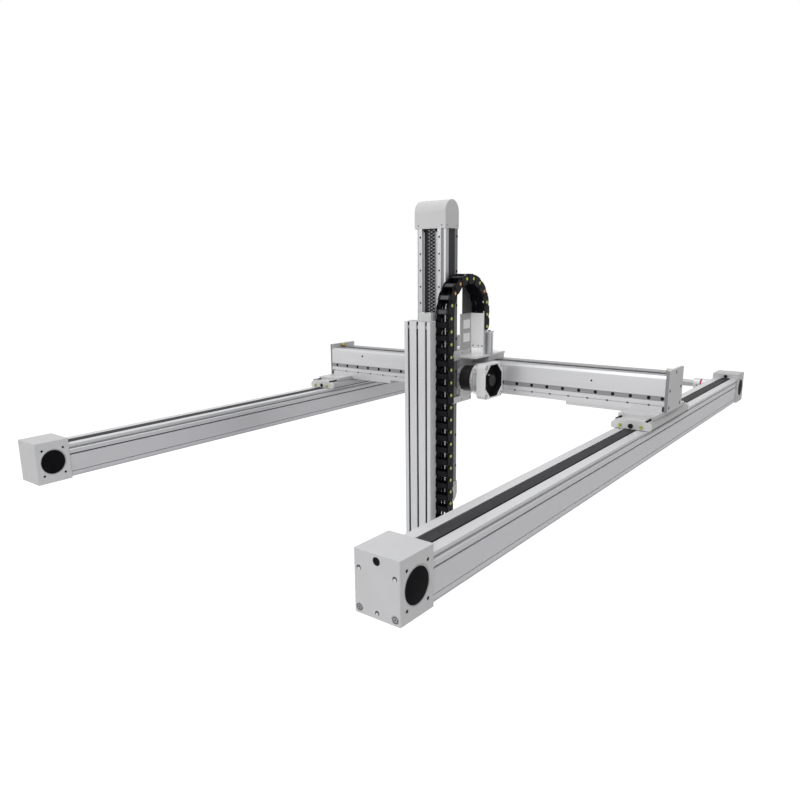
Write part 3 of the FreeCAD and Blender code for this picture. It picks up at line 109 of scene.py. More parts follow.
def spread(tree, value, low, high):
    """Number between two others, by the middle part of a noise."""
    node = tree.nodes.new("ShaderNodeMapRange")
    node.inputs["From Min"].default_value = 0.3
    node.inputs["From Max"].default_value = 0.7
    node.inputs["To Min"].default_value = low
    node.inputs["To Max"].default_value = high
    tree.links.new(value, node.inputs["Value"])
    return node.outputs["Result"]


def finish(name, colour, *, vary=0.04, rough=0.4, metal=0.0, grain=(1, 1, 1), scale=40.0, fine=900.0,
           bump=0.05, gloss=0.5, edge=0.0):
    """A surface with cloudy colour, a grained roughness and a fine relief, and softened edges if asked."""
    material, tree, shader = new_material(name)
    low = tuple(c * (1 - vary) for c in colour)
    high = tuple(min(1.0, c * (1 + vary)) for c in colour)
    tree.links.new(ramp(tree, noise(tree, grain, scale), low, high), shader.inputs["Base Color"])
    relief = noise(tree, grain, fine, 3.0)
    roughness = spread(tree, relief, rough * (1 - ROUGH_SPREAD), min(1.0, rough * (1 + ROUGH_SPREAD)))
    tree.links.new(roughness, shader.inputs["Roughness"])
    node = tree.nodes.new("ShaderNodeBump")
    node.inputs["Strength"].default_value = bump
    node.inputs["Distance"].default_value = RELIEF_DEPTH
    tree.links.new(relief, node.inputs["Height"])
    if edge:
        bevel = tree.nodes.new("ShaderNodeBevel")
        bevel.inputs["Radius"].default_value = edge
        tree.links.new(bevel.outputs["Normal"], node.inputs["Normal"])
    tree.links.new(node.outputs["Normal"], shader.inputs["Normal"])
    shader.inputs["Metallic"].default_value = metal
    shader.inputs["Specular IOR Level"].default_value = gloss
    material.diffuse_color = (*colour, 1)
    return material


def second_colour(material, chosen, colour):
    """Gives a surface another colour where the chosen value is one."""
    tree = material.node_tree
    base = tree.nodes["Principled BSDF"].inputs["Base Color"]
    mix = tree.nodes.new("ShaderNodeMixRGB")
    mix.inputs["Color2"].default_value = (*colour, 1)
    tree.links.new(chosen, mix.inputs["Fac"])
    tree.links.new(base.links[0].from_socket, mix.inputs["Color1"])
    tree.links.new(mix.outputs["Color"], base)


def facing(material, axis, colour, least=0.9):
    """Gives the faces of a surface that look along an axis, either way, another colour."""
    tree = material.node_tree
    surface = tree.nodes.new("ShaderNodeNewGeometry")
    parts = tree.nodes.new("ShaderNodeSeparateXYZ")
    tree.links.new(surface.outputs["True Normal"], parts.inputs["Vector"])
    along = math_node(tree, "ABSOLUTE", parts.outputs[axis])
    second_colour(material, math_node(tree, "GREATER_THAN", along, least), colour)


def right_side(material, colour):
    """Gives what lies on the right of the row frame's origin another colour."""
    tree = material.node_tree
    place = tree.nodes.new("ShaderNodeTexCoord")
    parts = tree.nodes.new("ShaderNodeSeparateXYZ")
    tree.links.new(place.outputs["Object"], parts.inputs["Vector"])
    second_colour(material, math_node(tree, "GREATER_THAN", parts.outputs["X"], 0.0), colour)


# Extruded aluminium, with its grain along the profile

ANODISED = (0.63, 0.63, 0.645)
ALONG_X, ALONG_Y, ALONG_Z = (0.05, 1, 1), (1, 0.05, 1), (1, 1, 0.05)
EXTRUDED = {"vary": 0.03, "rough": 0.38}

extrusion_x = finish("extrusion_x", ANODISED, metal=0.45, grain=ALONG_X, **EXTRUDED)
beam_face = finish("beam_face", ANODISED, metal=0.45, grain=ALONG_X, **EXTRUDED)
facing(beam_face, "Z", (0.28, 0.28, 0.29))
module_face = finish("module_face", ANODISED, metal=0.35, grain=ALONG_Y, **EXTRUDED)
# Painted shade: the faces of the long profiles that look along X are darker than their tops.
facing(module_face, "X", (0.5, 0.5, 0.52))
extrusion_z = finish("extrusion_z", ANODISED, metal=0.45, grain=ALONG_Z, **EXTRUDED)
column_face = finish("column_face", (0.36, 0.36, 0.37), vary=0.03, rough=0.36, metal=0.5, grain=ALONG_Z)
arm_face = finish("arm_face", ANODISED, metal=0.35, grain=ALONG_Z, **EXTRUDED)
# Painted light: the arm's faces that look along X are lighter, to make up for the shade of the chain beside
# them.
facing(arm_face, "X", (0.96, 0.96, 0.965))
# Painted highlight: near-white strips on the column's front edges, for the light caught by their chamfers.
edge_highlight = finish("edge_highlight", (0.9, 0.9, 0.905), vary=0.02, rough=0.3, metal=0.1, grain=ALONG_Z,
                    bump=0.03)
# Grey of the column's side strips and their hole rims: the strips' own grey, made darker as painted shadow of
# the chain.
strip_grey = finish("strip_grey", (0.17, 0.17, 0.175), vary=0.05, rough=0.42, metal=0.3, grain=ALONG_Z)
# Painted shade: dark grey lines at the profiles' foot, under their top lip and along the post's grooves.
shade_line_grey = finish("shade_line_grey", (0.24, 0.24, 0.245), vary=0.06, rough=0.45, metal=0.3, grain=ALONG_Y)
# Painted shade: near-black strips deep in the gaps of the profiles' grooves.
groove_shade = finish("groove_shade", (0.05, 0.05, 0.053), vary=0.1, rough=0.5, metal=0.2, grain=(1, 0.1, 1),
                   scale=60, fine=400, gloss=0.2)
band_grey = finish("band_grey", (0.29, 0.29, 0.3), vary=0.06, rough=0.42, metal=0.3, grain=ALONG_X)
band_black = finish("band_black", (0.035, 0.036, 0.04), vary=0.12, rough=0.5, grain=(1, 1, 0.1),
                    bump=0.1, gloss=0.12)

# Milled and painted plates, blocks and caps

MILLED = {
    "vary": 0.03, "rough": 0.42, "metal": 0.35, "grain": (0.3, 1, 1), "scale": 25, "fine": 1200, "bump": 0.06,
}
BLASTED = {"vary": 0.025, "rough": 0.5, "metal": 0.1, "scale": 12, "fine": 1500, "bump": 0.12, "edge": 0.0015}
SHEET = {"grain": (1, 1, 0.3), "scale": 25, "fine": 1200}

plate = finish("milled_plate", (0.6, 0.6, 0.605), **MILLED)
slider_plate = finish("slider_plate", (0.6, 0.6, 0.605), **MILLED)
# Painted shade: the faces of the sliders and mount plates that look along X, bevels included, are darker.
facing(slider_plate, "X", (0.37, 0.37, 0.375), 0.6)
blasted = finish("blasted_grey", (0.54, 0.54, 0.55), **BLASTED)
end_plate = finish("end_plate_grey", (0.54, 0.54, 0.55), **BLASTED)
facing(end_plate, "Y", (0.24, 0.24, 0.245))
cap_grey = finish("cap_grey", (0.58, 0.58, 0.585), vary=0.02, rough=0.42, scale=10, fine=1800, bump=0.06)
bracket_plate = finish("bracket_plate", (0.82, 0.82, 0.825), vary=0.02, metal=0.1, **SHEET)
# Painted light and shade: the guide bracket is near white so that its wing, in the shadow of column and
# chain, shows bright, and its faces that look along X are darker.
bracket_sheet = finish("bracket_sheet", (0.96, 0.96, 0.965), vary=0.01, **SHEET)
facing(bracket_sheet, "X", (0.47, 0.47, 0.475))
guard_grey = finish("guard_grey", (0.085, 0.087, 0.086), vary=0.08, rough=0.5, gloss=0.2, **SHEET)
# Painted light: white panes standing for the light seen through the bracket's windows.
window_light_white = finish("window_light_white", (0.95, 0.95, 0.955), vary=0.02, rough=0.3, scale=8, fine=300)

# Belts and moulded plastic

MOULDED = {"vary": 0.2, "scale": 30, "fine": 1400}

belt_black = finish("belt_black", (0.028, 0.028, 0.03), vary=0.2, rough=0.6, grain=(1, 0.2, 1), scale=60,
                    bump=0.2, gloss=0.12)
black_plastic = finish("black_plastic", (0.014, 0.014, 0.017), rough=0.38, bump=0.12, gloss=0.12, **MOULDED)
cover_black = finish("cover_black", (0.005, 0.005, 0.006), rough=0.6, bump=0.1, gloss=0.03, **MOULDED)
chain_black = finish("chain_black", (0.005, 0.005, 0.007), rough=0.42, bump=0.12, gloss=0.1, **MOULDED)
# Painted highlight: dark grey ribs on the bars round the chain's bend, where the straight runs have black
# ribs.
bar_highlight_grey = finish("bar_highlight_grey", (0.035, 0.035, 0.038), vary=0.15, rough=0.38, fine=1400, bump=0.1)
# Near black for black parts, and for painted shade in holes, gaps, grooves and recesses.
deep_black = finish("deep_black", (0.006, 0.006, 0.006), vary=0.2, rough=0.7, scale=30, fine=400, gloss=0.12)
magenta = finish("spider_magenta", (0.42, 0.03, 0.12), vary=0.12, rough=0.5, scale=60, bump=0.1)
white_plastic = finish("white_plastic", (0.78, 0.78, 0.77), vary=0.02)
pin_green = finish("pin_green", (0.52, 0.6, 0.1), vary=0.12, scale=90)
pin_amber = finish("pin_amber", (0.72, 0.36, 0.07), vary=0.12, scale=90)

# Steel and brass

rail_steel = finish("rail_steel", (0.52, 0.52, 0.53), vary=0.03, rough=0.35, metal=0.5, grain=(1, 1, 0.06),
                    scale=60, bump=0.02)
dark_steel = finish("dark_steel", (0.022, 0.019, 0.019), vary=0.15, rough=0.42, metal=0.2, scale=25,
                    bump=0.08)
bright_steel = finish("bright_steel", (0.85, 0.85, 0.86), vary=0.01, rough=0.3, metal=0.6, grain=(0.1, 1, 1),
                      scale=30, fine=200, bump=0.005)
shaft_steel = finish("shaft_steel", (0.38, 0.38, 0.39), rough=0.35, metal=0.5, grain=ALONG_X, scale=50,
                     bump=0.03)
screw_steel = finish("screw_steel", (0.3, 0.3, 0.31), vary=0.1, rough=0.35, metal=0.7, scale=80)
dark_screw = finish("dark_screw", (0.03, 0.03, 0.032), vary=0.2, metal=0.3, scale=80)
chain_plate = finish("chain_plate", (0.012, 0.012, 0.013), vary=0.15, rough=0.45, metal=0.2, scale=90,
                     gloss=0.2)
chain_steel = finish("chain_steel", (0.21, 0.21, 0.215), vary=0.15, metal=0.3, scale=90, gloss=0.4)
brass = finish("brass", (0.4, 0.34, 0.12), vary=0.08, rough=0.3, metal=0.7, scale=60)
right_side(brass, (0.3, 0.3, 0.27))
nipple_yellow = finish("nipple_yellow", (0.4, 0.42, 0.1), vary=0.1, rough=0.35, metal=0.4, scale=60)
# Painted shade of hole mouths, and painted light on the lit part of their walls.
hole_shade_grey = finish("hole_shade_grey", (0.06, 0.06, 0.062), vary=0.15, rough=0.6, scale=60, fine=400, gloss=0.2)
hole_wall_light = finish("hole_wall_light", (0.62, 0.62, 0.625), vary=0.05, rough=0.5, metal=0.1, scale=60, fine=400)

# Finishes of the solids

NODE_FINISHES = (
    (module_face, ["rail_profiles"]),
    (blasted, ["front_blocks", "rear_blocks"]),
    (cover_black, ["bearing_covers"]),
    (belt_black, ["module_belts", "x_drive_belt", "lift_chain"]),
    (shaft_steel, ["cross_shaft_tube"]),
    (magenta, ["coupling_spiders"]),
    (slider_plate, ["module_sliders", "mount_plates"]),
    (nipple_yellow, ["grease_nipples"]),
    (beam_face, ["crossbeam"]),
    (end_plate, ["beam_end_plates"]),
    (brass, ["end_bumpers"]),
    (bracket_plate, ["z_mount_plate", "motor_flange"]),
    (bracket_sheet, ["guide_bracket"]),
    (extrusion_z, ["chain_post"]),
    (column_face, ["column_profile"]),
    (band_black, ["column_side_bands"]),
    (cap_grey, ["column_top_cap", "column_bottom_cap"]),
    (arm_face, ["arm_profile"]),
    (plate, [
        "coupling_hubs", "slider_caps", "x_slider", "z_back_plate", "drive_housing", "arm_slider",
        "tool_plate",
    ]),
    (rail_steel, [
        "module_rails", "module_wagons", "x_rails", "x_wagons", "column_rails", "column_wagons", "z_rack",
        "arm_wagons",
    ]),
    (bright_steel, ["gearbox_flange", "gearbox_body", "z_pinion"]),
    (dark_steel, [
        "left_front_pulley", "right_front_pulley", "rear_pulleys", "x_left_pulley", "x_right_pulley",
        "gear_ring", "input_hub", "top_sprocket", "bottom_sprocket",
    ]),
    (black_plastic, ["chain_arm_bracket", "chain_fixed_run", "chain_arm_run", "chain_loop"]),
)
finish_of = {name: material for material, names in NODE_FINISHES for name in names}
for node_name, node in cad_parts.items():
    node.data.materials.clear()
    node.data.materials.append(finish_of[node_name])

# Shapes

# Two directions across each axis, then the direction along it
AXES = {
    "X": ((0, 1, 0), (0, 0, 1), (1, 0, 0)),
    "-X": ((0, -1, 0), (0, 0, 1), (-1, 0, 0)),
    "Y": ((-1, 0, 0), (0, 0, 1), (0, 1, 0)),
    "-Y": ((1, 0, 0), (0, 0, 1), (0, -1, 0)),
    "Z": ((1, 0, 0), (0, 1, 0), (0, 0, 1)),
    "-Z": ((-1, 0, 0), (0, 1, 0), (0, 0, -1)),
}
BOTH = (-1, 1)
# TIP is the radius that closes a turned form, and SKIN is how far a thin strip stands out of its face
TIP = 0.05
SKIN = 0.15


class Shape:
    """Collects closed forms in millimetres of the row frame, then becomes one piece."""

    def __init__(self):
        self.mesh = bmesh.new()
        self.materials = []
        self.place = Matrix.Identity(4)

    def stand(self, place, angle):
        """Gives what comes next its own origin, and turns it about X there."""
        self.place = Matrix.Translation(place) @ Matrix.Rotation(angle, 4, "X")

    def index(self, material):
        if material not in self.materials:
            self.materials.append(material)
        return self.materials.index(material)

    def loops(self, rings, material, hollow=False):
        """Skins rings of equal length, and caps the first and last, or joins them for a hollow form."""
        slot = self.index(material)
        made = []
        for points in rings:
            made.append([self.mesh.verts.new(self.place @ Vector(p) * MM) for p in points])
        count = len(made[0])
        followers = made[1:] + made[:1] if hollow else made[1:]
        for lower, upper in zip(made, followers):
            for i in range(count):
                j = (i + 1) % count
                face = self.mesh.faces.new((lower[i], lower[j], upper[j], upper[i]))
                face.material_index = slot
        if not hollow:
            for loop in (list(reversed(made[0])), made[-1]):
                face = self.mesh.faces.new(loop)
                face.material_index = slot

    def prism(self, axis, outline, start, end, material, chamfer=0.0):
        """Outline in the two axes beside the named one, between two levels along it."""
        order = {"X": (0, 1, 2), "Y": (1, 0, 2), "Z": (2, 0, 1)}[axis]
        start, end = sorted((start, end))

        def at(level, points):
            ring = []
            for a, b in points:
                place = [0.0, 0.0, 0.0]
                place[order[0]], place[order[1]], place[order[2]] = level, a, b
                ring.append(place)
            return ring

        rings = [at(start, outline), at(end, outline)]
        if chamfer:
            inner = inset(outline, chamfer)
            middle = [at(start + chamfer, outline), at(end - chamfer, outline)]
            rings = [at(start, inner), *middle, at(end, inner)]
        self.loops(rings, material)

    def box(self, x0, x1, y0, y1, z0, z1, material, chamfer=0.4):
        """Box between two levels of each axis, with chamfered ends along Z."""
        x0, x1 = sorted((x0, x1))
        self.prism("Z", [(x0, y0), (x1, y0), (x1, y1), (x0, y1)], z0, z1, material, chamfer)

    def lathe(self, axis, place, profile, material, sides=20, hexagon=(), hollow=False):
        """Turns (along, radius) pairs round the axis; the numbered pairs in hexagon follow a hexagon."""
        u, v, w = (Vector(a) for a in AXES[axis])
        rings = []
        for number, (along, radius) in enumerate(profile):
            ring = []
            for i in range(sides):
                angle = 2 * pi * i / sides
                reach = radius
                if number in hexagon:
                    reach = radius / cos((angle % (pi / 3)) - pi / 6)
                ring.append(Vector(place) + w * along + (u * cos(angle) + v * sin(angle)) * reach)
            rings.append(ring)
        self.loops(rings, material, hollow)

    def piece(self, name, body, sharp):
        """Makes and shades the object, which rides on the body if there is one."""
        bmesh.ops.recalc_face_normals(self.mesh, faces=self.mesh.faces)
        data = bpy.data.meshes.new(name)
        self.mesh.to_mesh(data)
        self.mesh.free()
        for material in self.materials:
            data.materials.append(material)
        data.shade_smooth()
        data.set_sharp_from_angle(angle=radians(sharp))
        made = bpy.data.objects.new(name, data)
        bpy.context.scene.collection.objects.link(made)
        if body:
            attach(made, body)
        return made


def fit(make, body, sharp=35):
    """Makes one piece by the function that has its name."""
    shape = Shape()
    make(shape)
    return shape.piece(make.__name__, body, sharp)


def inset(outline, width):
    """The outline moved towards its middle by the width on each axis."""
    middle_a = sum(a for a, _ in outline) / len(outline)
    middle_b = sum(b for _, b in outline) / len(outline)

    def pull(value, middle):
        if abs(value - middle) <= width:
            return middle
        return value - copysign(width, value - middle)

    return [(pull(a, middle_a), pull(b, middle_b)) for a, b in outline]


def corners(half_a, half_b):
    """The four corners of a rectangle about zero."""
    return product((-half_a, half_a), (-half_b, half_b))


def socket_screw(shape, axis, place, radius, height, material):
    """Cap screw with a chamfered head and a hexagon socket."""
    socket = radius * 0.5
    shape.lathe(axis, place, [
        (0, radius), (height * 0.8, radius), (height, radius * 0.88),
        (height, socket), (height * 0.35, socket), (height * 0.35, TIP),
    ], material, 18, (3, 4))


def dark_hole(shape, axis, place, radius, rim):
    """Thin rim of a hole, and a black disc in its mouth as painted shade."""
    ring = [(0, radius * 1.3), (0.12, radius * 1.22), (0.12, radius), (0.05, radius)]
    shape.lathe(axis, place, ring, rim, 18)
    shape.lathe(axis, place, [(0, radius), (0.08, radius * 0.98), (0.06, TIP)], deep_black, 18)


def lit_hole(shape, axis, place, radius):
    """Open hole: painted shade in its mouth, and a painted highlight on the part of its wall that looks up
    and would catch the light.
    """
    shape.lathe(axis, place, [(0, radius), (0.06, radius * 0.98), (0.06, TIP)], hole_shade_grey, 20)
    lower = (place[0], place[1], place[2] - radius * 0.36)
    shape.lathe(axis, lower, [(0.06, radius * 0.62), (0.1, radius * 0.6), (0.1, TIP)], hole_wall_light, 20)


def sunk_screw(shape, axis, place, radius, rim):
    """Screw below the surface: a painted shade ring in its counterbore round a grey head."""
    dark_hole(shape, axis, place, radius, rim)
    shape.lathe(axis, place, [(0.08, radius * 0.76), (0.12, radius * 0.72), (0.12, TIP)], screw_steel, 18)
    shape.lathe(axis, place, [(0.12, radius * 0.34), (0.14, radius * 0.3), (0.14, TIP)], dark_screw, 6)


def screw_rows(shape, rows, rim):
    """Sunk screws; a row has their axis, their x, y and z values, and their radius."""
    for axis, xs, ys, zs, radius in rows:
        for place in product(xs, ys, zs):
            sunk_screw(shape, axis, place, radius, rim)


# End blocks of the long modules: holes, plug and rims of the bearing covers

MODULE_X = 700.0
SIDES = (-MODULE_X, MODULE_X)
BLOCK_HALF = 55.0
BLOCK_END = 1320.0
REAR_BLOCK_FACE = 1214.0
SHAFT_Y = 1267.0
SHAFT_Z = 65.0
SIDE_HOLE_Y, SIDE_HOLE_Z = 33.0, 40.0
END_HOLE_X = 43.0
END_HOLE_LOW, END_HOLE_HIGH = 12.5, 93.0
FOOT_HOLE_Z = 12.0
INNER_HOLE_Z = 118.5
PLUG_Z = 116.0
PLUG_SINK = 2.9
PLUG_PROFILE = [(0, 8.4), (2.2, 8.4), (2.8, 7.6), (2.8, 4.2), (1.4, 3.8), (1.4, TIP)]
PLUG_SOCKET = (3, 4)
COVER_RADIUS = 40.0
COVER_RIM = [(0, COVER_RADIUS), (0.15, COVER_RADIUS - 0.2), (0.15, COVER_RADIUS - 0.9), (0, COVER_RADIUS - 1)]
COVER_RING = [(0.02, COVER_RADIUS - 0.6), (0.06, COVER_RADIUS - 0.8), (0.06, TIP)]
COVER_DISC = [(0.06, COVER_RADIUS - 2.4), (0.1, COVER_RADIUS - 2.6), (0.1, TIP)]
# Offset of the dark disc that leaves the painted highlight crescent.
DISC_SHIFT = 1.6


def block_holes(shape):
    """Holes in the outer faces of the end blocks, and screws in the front face of the right one."""
    for side in SIDES:
        for end in BOTH:
            for face, axis in ((BLOCK_HALF, "X"), (-BLOCK_HALF, "-X")):
                for reach_y, reach_z in corners(SIDE_HOLE_Y, SIDE_HOLE_Z):
                    place = (side + face, SHAFT_Y * end + reach_y, SHAFT_Z + reach_z)
                    dark_hole(shape, axis, place, 3.5, blasted)
        for reach in (-END_HOLE_X, END_HOLE_X):
            for level in (END_HOLE_HIGH, END_HOLE_LOW):
                lit_hole(shape, "Y", (side + reach, BLOCK_END, level), 5.0)
    for reach in (-END_HOLE_X, END_HOLE_X):
        lit_hole(shape, "-Y", (MODULE_X + reach, -BLOCK_END, END_HOLE_HIGH), 5.4)
        sunk_screw(shape, "-Y", (MODULE_X + reach, -BLOCK_END, END_HOLE_LOW), 6.8, blasted)
    lit_hole(shape, "-Y", (MODULE_X, -BLOCK_END, FOOT_HOLE_Z), 5.2)
    for side in SIDES:
        dark_hole(shape, "-Y", (side, REAR_BLOCK_FACE, INNER_HOLE_Z), 7.4, blasted)


def block_plug(shape):
    """Black screw plug at the top of the right front block."""
    shape.lathe("-Y", (MODULE_X, PLUG_SINK - BLOCK_END, PLUG_Z), PLUG_PROFILE, deep_black, 24, PLUG_SOCKET)


def cover_rims(shape):
    """Bright rims and dark discs of the bearing covers, each disc shifted to leave a painted highlight
    crescent of steel at the cover's inner edge; none where the cross shaft enters a rear block.
    """
    for side in SIDES:
        for sense, axis in ((1, "X"), (-1, "-X")):
            for end in BOTH:
                if side * sense < 0 and end > 0:
                    continue
                x = side + sense * BLOCK_HALF
                y = SHAFT_Y * end
                shape.lathe(axis, (x, y, SHAFT_Z), COVER_RIM, screw_steel, 64, hollow=True)
                shape.lathe(axis, (x, y, SHAFT_Z), COVER_RING, screw_steel, 64)
                shape.lathe(axis, (x, y - DISC_SHIFT, SHAFT_Z), COVER_DISC, cover_black, 64)


fit(block_holes, "frame")
fit(block_plug, "frame")
fit(cover_rims, "frame")

# Grooves of the long profiles: covers, painted shade in the gaps beside them, and painted shade lines at the
# foot and under the top lip

PROFILE_REACH = 1213.5
PROFILE_HALF = 50.0
GROOVE_FLOOR = 43.2
GROOVE_COVERS = ((20.4, 32.9), (69.1, 73.2))
GROOVE_GAPS = ((18.2, 20.3, 47.4), (73.4, 77.4, 43.2))
GAP_DEPTH = 0.6
FOOT_LINE = (6.4, 7.7)
LIP_LINE = (92.6, 97.8)
LIP_HALF = 47.0


def module_grooves(shape):
    """Strips along both sides of both profiles; each has two distances from the middle and two levels."""
    strips = []
    for low, high in GROOVE_COVERS:
        strips.append((GROOVE_FLOOR, PROFILE_HALF - 0.2, low, high, module_face))
    for low, high, reach in GROOVE_GAPS:
        strips.append((reach, reach + GAP_DEPTH, low, high, groove_shade))
    strips.append((PROFILE_HALF - 0.2, PROFILE_HALF + 0.05, *FOOT_LINE, shade_line_grey))
    strips.append((LIP_HALF, LIP_HALF + 0.3, *LIP_LINE, shade_line_grey))
    for side in SIDES:
        for sense in BOTH:
            for near, far, low, high, material in strips:
                x0, x1 = side + sense * near, side + sense * far
                shape.box(x0, x1, -PROFILE_REACH, PROFILE_REACH, low, high, material, 0)


fit(module_grooves, "frame")

# Sliders of the long modules, with their end caps and mount plates

SLIDER_FRONT, SLIDER_BACK = -17.0, 403.0
SLIDER_HALF = 65.0
CAP_MIDDLE = 119.3
NIPPLE_X = 35.0
NIPPLE_PROFILE = [
    (0, 5.6), (2.2, 5.6), (2.8, 5.0), (2.8, 3.4), (3.4, 3.2), (5.2, 2.2), (7.6, 2.6), (8.6, 1.6), (8.6, TIP),
]
NIPPLE_HEXAGON = (0, 1, 2)
SEAM_HALF = 60.0
# Black line under the caps: painted shadow of the gap between cap and profile.
SEAM = (108.4, 109.4)
SLOT_X = (46.0, 51.5)
SLOT_Z = (133.5, 142.0)
SLOT_LENGTH = 50.0
SLOT_MARGIN = 0.5
# Dark seals along the sliders' sides, their black partly painted shadow of the gap over the profile.
SEAL = (108.5, 111.2)
SEAL_MARGIN = 14.0
PLATE_TOP = 149.0
PLATE_HOLE_X = 47.0
PLATE_HOLE_Y = (44.0, 342.0)
CORNER_NEAR, CORNER_FAR = 754.0, 759.8
CORNER_Y = (121.8, 123.2)
CORNER_Z = (150, 166)


def slider_fittings(shape):
    """Grease nipples, plugs and slots of the caps, a black seam under each cap as painted shadow of its gap,
    and dark seals along the sliders whose black is partly painted shadow of the gap beside them.
    """
    for side in SIDES:
        for reach in (-NIPPLE_X, NIPPLE_X):
            place = (side + reach, SLIDER_FRONT - 0.2, CAP_MIDDLE)
            shape.lathe("-Y", place, NIPPLE_PROFILE, nipple_yellow, 18, NIPPLE_HEXAGON)
        plug = (side, SLIDER_FRONT + PLUG_SINK, CAP_MIDDLE)
        shape.lathe("-Y", plug, PLUG_PROFILE, black_plastic, 24, PLUG_SOCKET)
        left, right = side - SEAM_HALF, side + SEAM_HALF
        shape.box(left, right, SLIDER_FRONT - SKIN, SLIDER_FRONT + 0.05, *SEAM, deep_black, 0)
        for sense in BOTH:
            inner, outer = (side + sense * reach for reach in SLOT_X)
            for near in (SLIDER_FRONT + SLOT_MARGIN, SLIDER_BACK - SLOT_MARGIN - SLOT_LENGTH):
                shape.box(inner, outer, near, near + SLOT_LENGTH, *SLOT_Z, deep_black)
        front, back = SLIDER_FRONT + SEAL_MARGIN, SLIDER_BACK - SEAL_MARGIN
        for edge in (side - SLIDER_HALF, side + SLIDER_HALF):
            shape.box(edge - SKIN, edge + SKIN, front, back, *SEAL, deep_black, 0)


def mount_plate_screws(shape):
    """Four small holes in the top of each mount plate."""
    for side in SIDES:
        for reach in (-PLATE_HOLE_X, PLATE_HOLE_X):
            for y in PLATE_HOLE_Y:
                dark_hole(shape, "Z", (side + reach, y, PLATE_TOP), 2.4, plate)


def beam_corner_seals(shape):
    """Dark seals at the lower front corners of the beam, beside its end plates."""
    for sense in BOTH:
        shape.box(CORNER_NEAR * sense, CORNER_FAR * sense, *CORNER_Y, *CORNER_Z, deep_black, 0.2)


fit(slider_fittings, "gantry")
fit(mount_plate_screws, "gantry")
fit(beam_corner_seals, "gantry")

# Cross shaft: clamp screws of the hubs and lobes of the spiders

HUB_SCREW_X = (571.0, 612.0)
HUB_SCREW_TURN = 0.6
HUB_SCREW = (0, -23.4, 12)
SPIDER_X = 586.0
SPIDER_LOBES = 8
LOBE = (-3.9, 3.9, -4.4, 4.4, 21.5, 24.9)


def shaft_fittings(shape):
    for sense in BOTH:
        for x in HUB_SCREW_X:
            for turned in (0, pi):
                shape.stand((x * sense, SHAFT_Y, SHAFT_Z), turned + HUB_SCREW_TURN)
                socket_screw(shape, "-Y", HUB_SCREW, 3.4, 1.6, dark_screw)
        for number in range(SPIDER_LOBES):
            shape.stand((SPIDER_X * sense, SHAFT_Y, SHAFT_Z), 2 * pi * number / SPIDER_LOBES)
            shape.box(*LOBE, magenta, 1.0)


fit(shaft_fittings, "cross_shaft")

# Crossbeam: grey band, holes and the line of small screws

BEAM_FRONT = 123.0
BEAM_HALF = 760.0
BAND = (184.8, 200.8)
BAND_FACE = 125.0
BAND_HOLES = [-731 + 62.5 * number for number in range(24)] + [752]
FACE_HOLES = ((-574, 244, 4.8), (503, 233, 3.6))
PLATE_FACE = 770.0
PLATE_HOLES = ((200, 276), (262, 219), (142, 219), (262, 161), (142, 161))
LINE_LEVEL = 168.2
LINE_START = -747.0
LINE_PITCH = 72.8
LINE_SCREWS = 21


def beam_bands(shape):
    margin = BEAM_HALF - 0.5
    shape.box(-margin, margin, BAND_FACE, BAND_FACE + 0.9, *BAND, band_grey, 0.2)


def beam_holes(shape):
    """Holes along the band, two in the face above it, and five in each end plate."""
    for x in BAND_HOLES:
        dark_hole(shape, "-Y", (x, BAND_FACE, sum(BAND) / 2), 6.4, band_grey)
    for x, z, radius in FACE_HOLES:
        dark_hole(shape, "-Y", (x, BEAM_FRONT, z), radius, extrusion_x)
    for sense, axis in ((1, "X"), (-1, "-X")):
        for y, z in PLATE_HOLES:
            dark_hole(shape, axis, (PLATE_FACE * sense, y, z), 5.4, end_plate)


def beam_line_screws(shape):
    for number in range(LINE_SCREWS):
        place = (LINE_START + LINE_PITCH * number, BEAM_FRONT + 1.4, LINE_LEVEL)
        socket_screw(shape, "-Y", place, 3.8, 1.8, dark_screw)


fit(beam_bands, "gantry")
fit(beam_holes, "gantry")
fit(beam_line_screws, "gantry")

# Carriage: screws of the Z mount plate and of the drive housing

MOUNT_TOP = 297.5
HOUSING_LEFT, HOUSING_RIGHT = -129.0, 9.0
HOUSING_BACK = 112.0
HOUSING_TOP = 319.0
CARRIAGE_SCREWS = (
    ("Z", (-184, -152, -20), (126, 240), [MOUNT_TOP], 4.6),
    ("Z", [72], (36, 108, 180, 242), [MOUNT_TOP], 3.6),
    ("Z", (HOUSING_LEFT + 8, HOUSING_RIGHT - 8), (-2, 45, 104), [HOUSING_TOP], 3.6),
    ("X", [HOUSING_RIGHT], (-14, 45, 104), (124, 308), 3.6),
    ("-X", [HOUSING_LEFT], (-14, 45, 104), (124, 308), 3.6),
    ("Y", (HOUSING_LEFT + 9, HOUSING_RIGHT - 9), [HOUSING_BACK], (128, 156, 262, 310), 3.2),
)


def carriage_screws(shape):
    screw_rows(shape, CARRIAGE_SCREWS, plate)


fit(carriage_screws, "x_carriage")

# Chain post: painted shade lines along its grooves, and the screws of the bracket that holds the chain's
# fixed end

POST_LEFT, POST_RIGHT = 56.0, 84.0
POST_FRONT, POST_BACK = 123.0, 151.0
POST_GROOVE = (298.0, 380.0)
POST_X, POST_Y = (POST_LEFT + POST_RIGHT) / 2, (POST_FRONT + POST_BACK) / 2
GROOVE_LIFT = 0.12
GROOVE_SKIN = 0.1
FOOT_TOP = 387.5
FOOT_SCREWS = (14, 34, 74)
CLIP_FACE = POST_FRONT - 4.4
CLIPS = tuple(product((394, 405), (20, 48)))


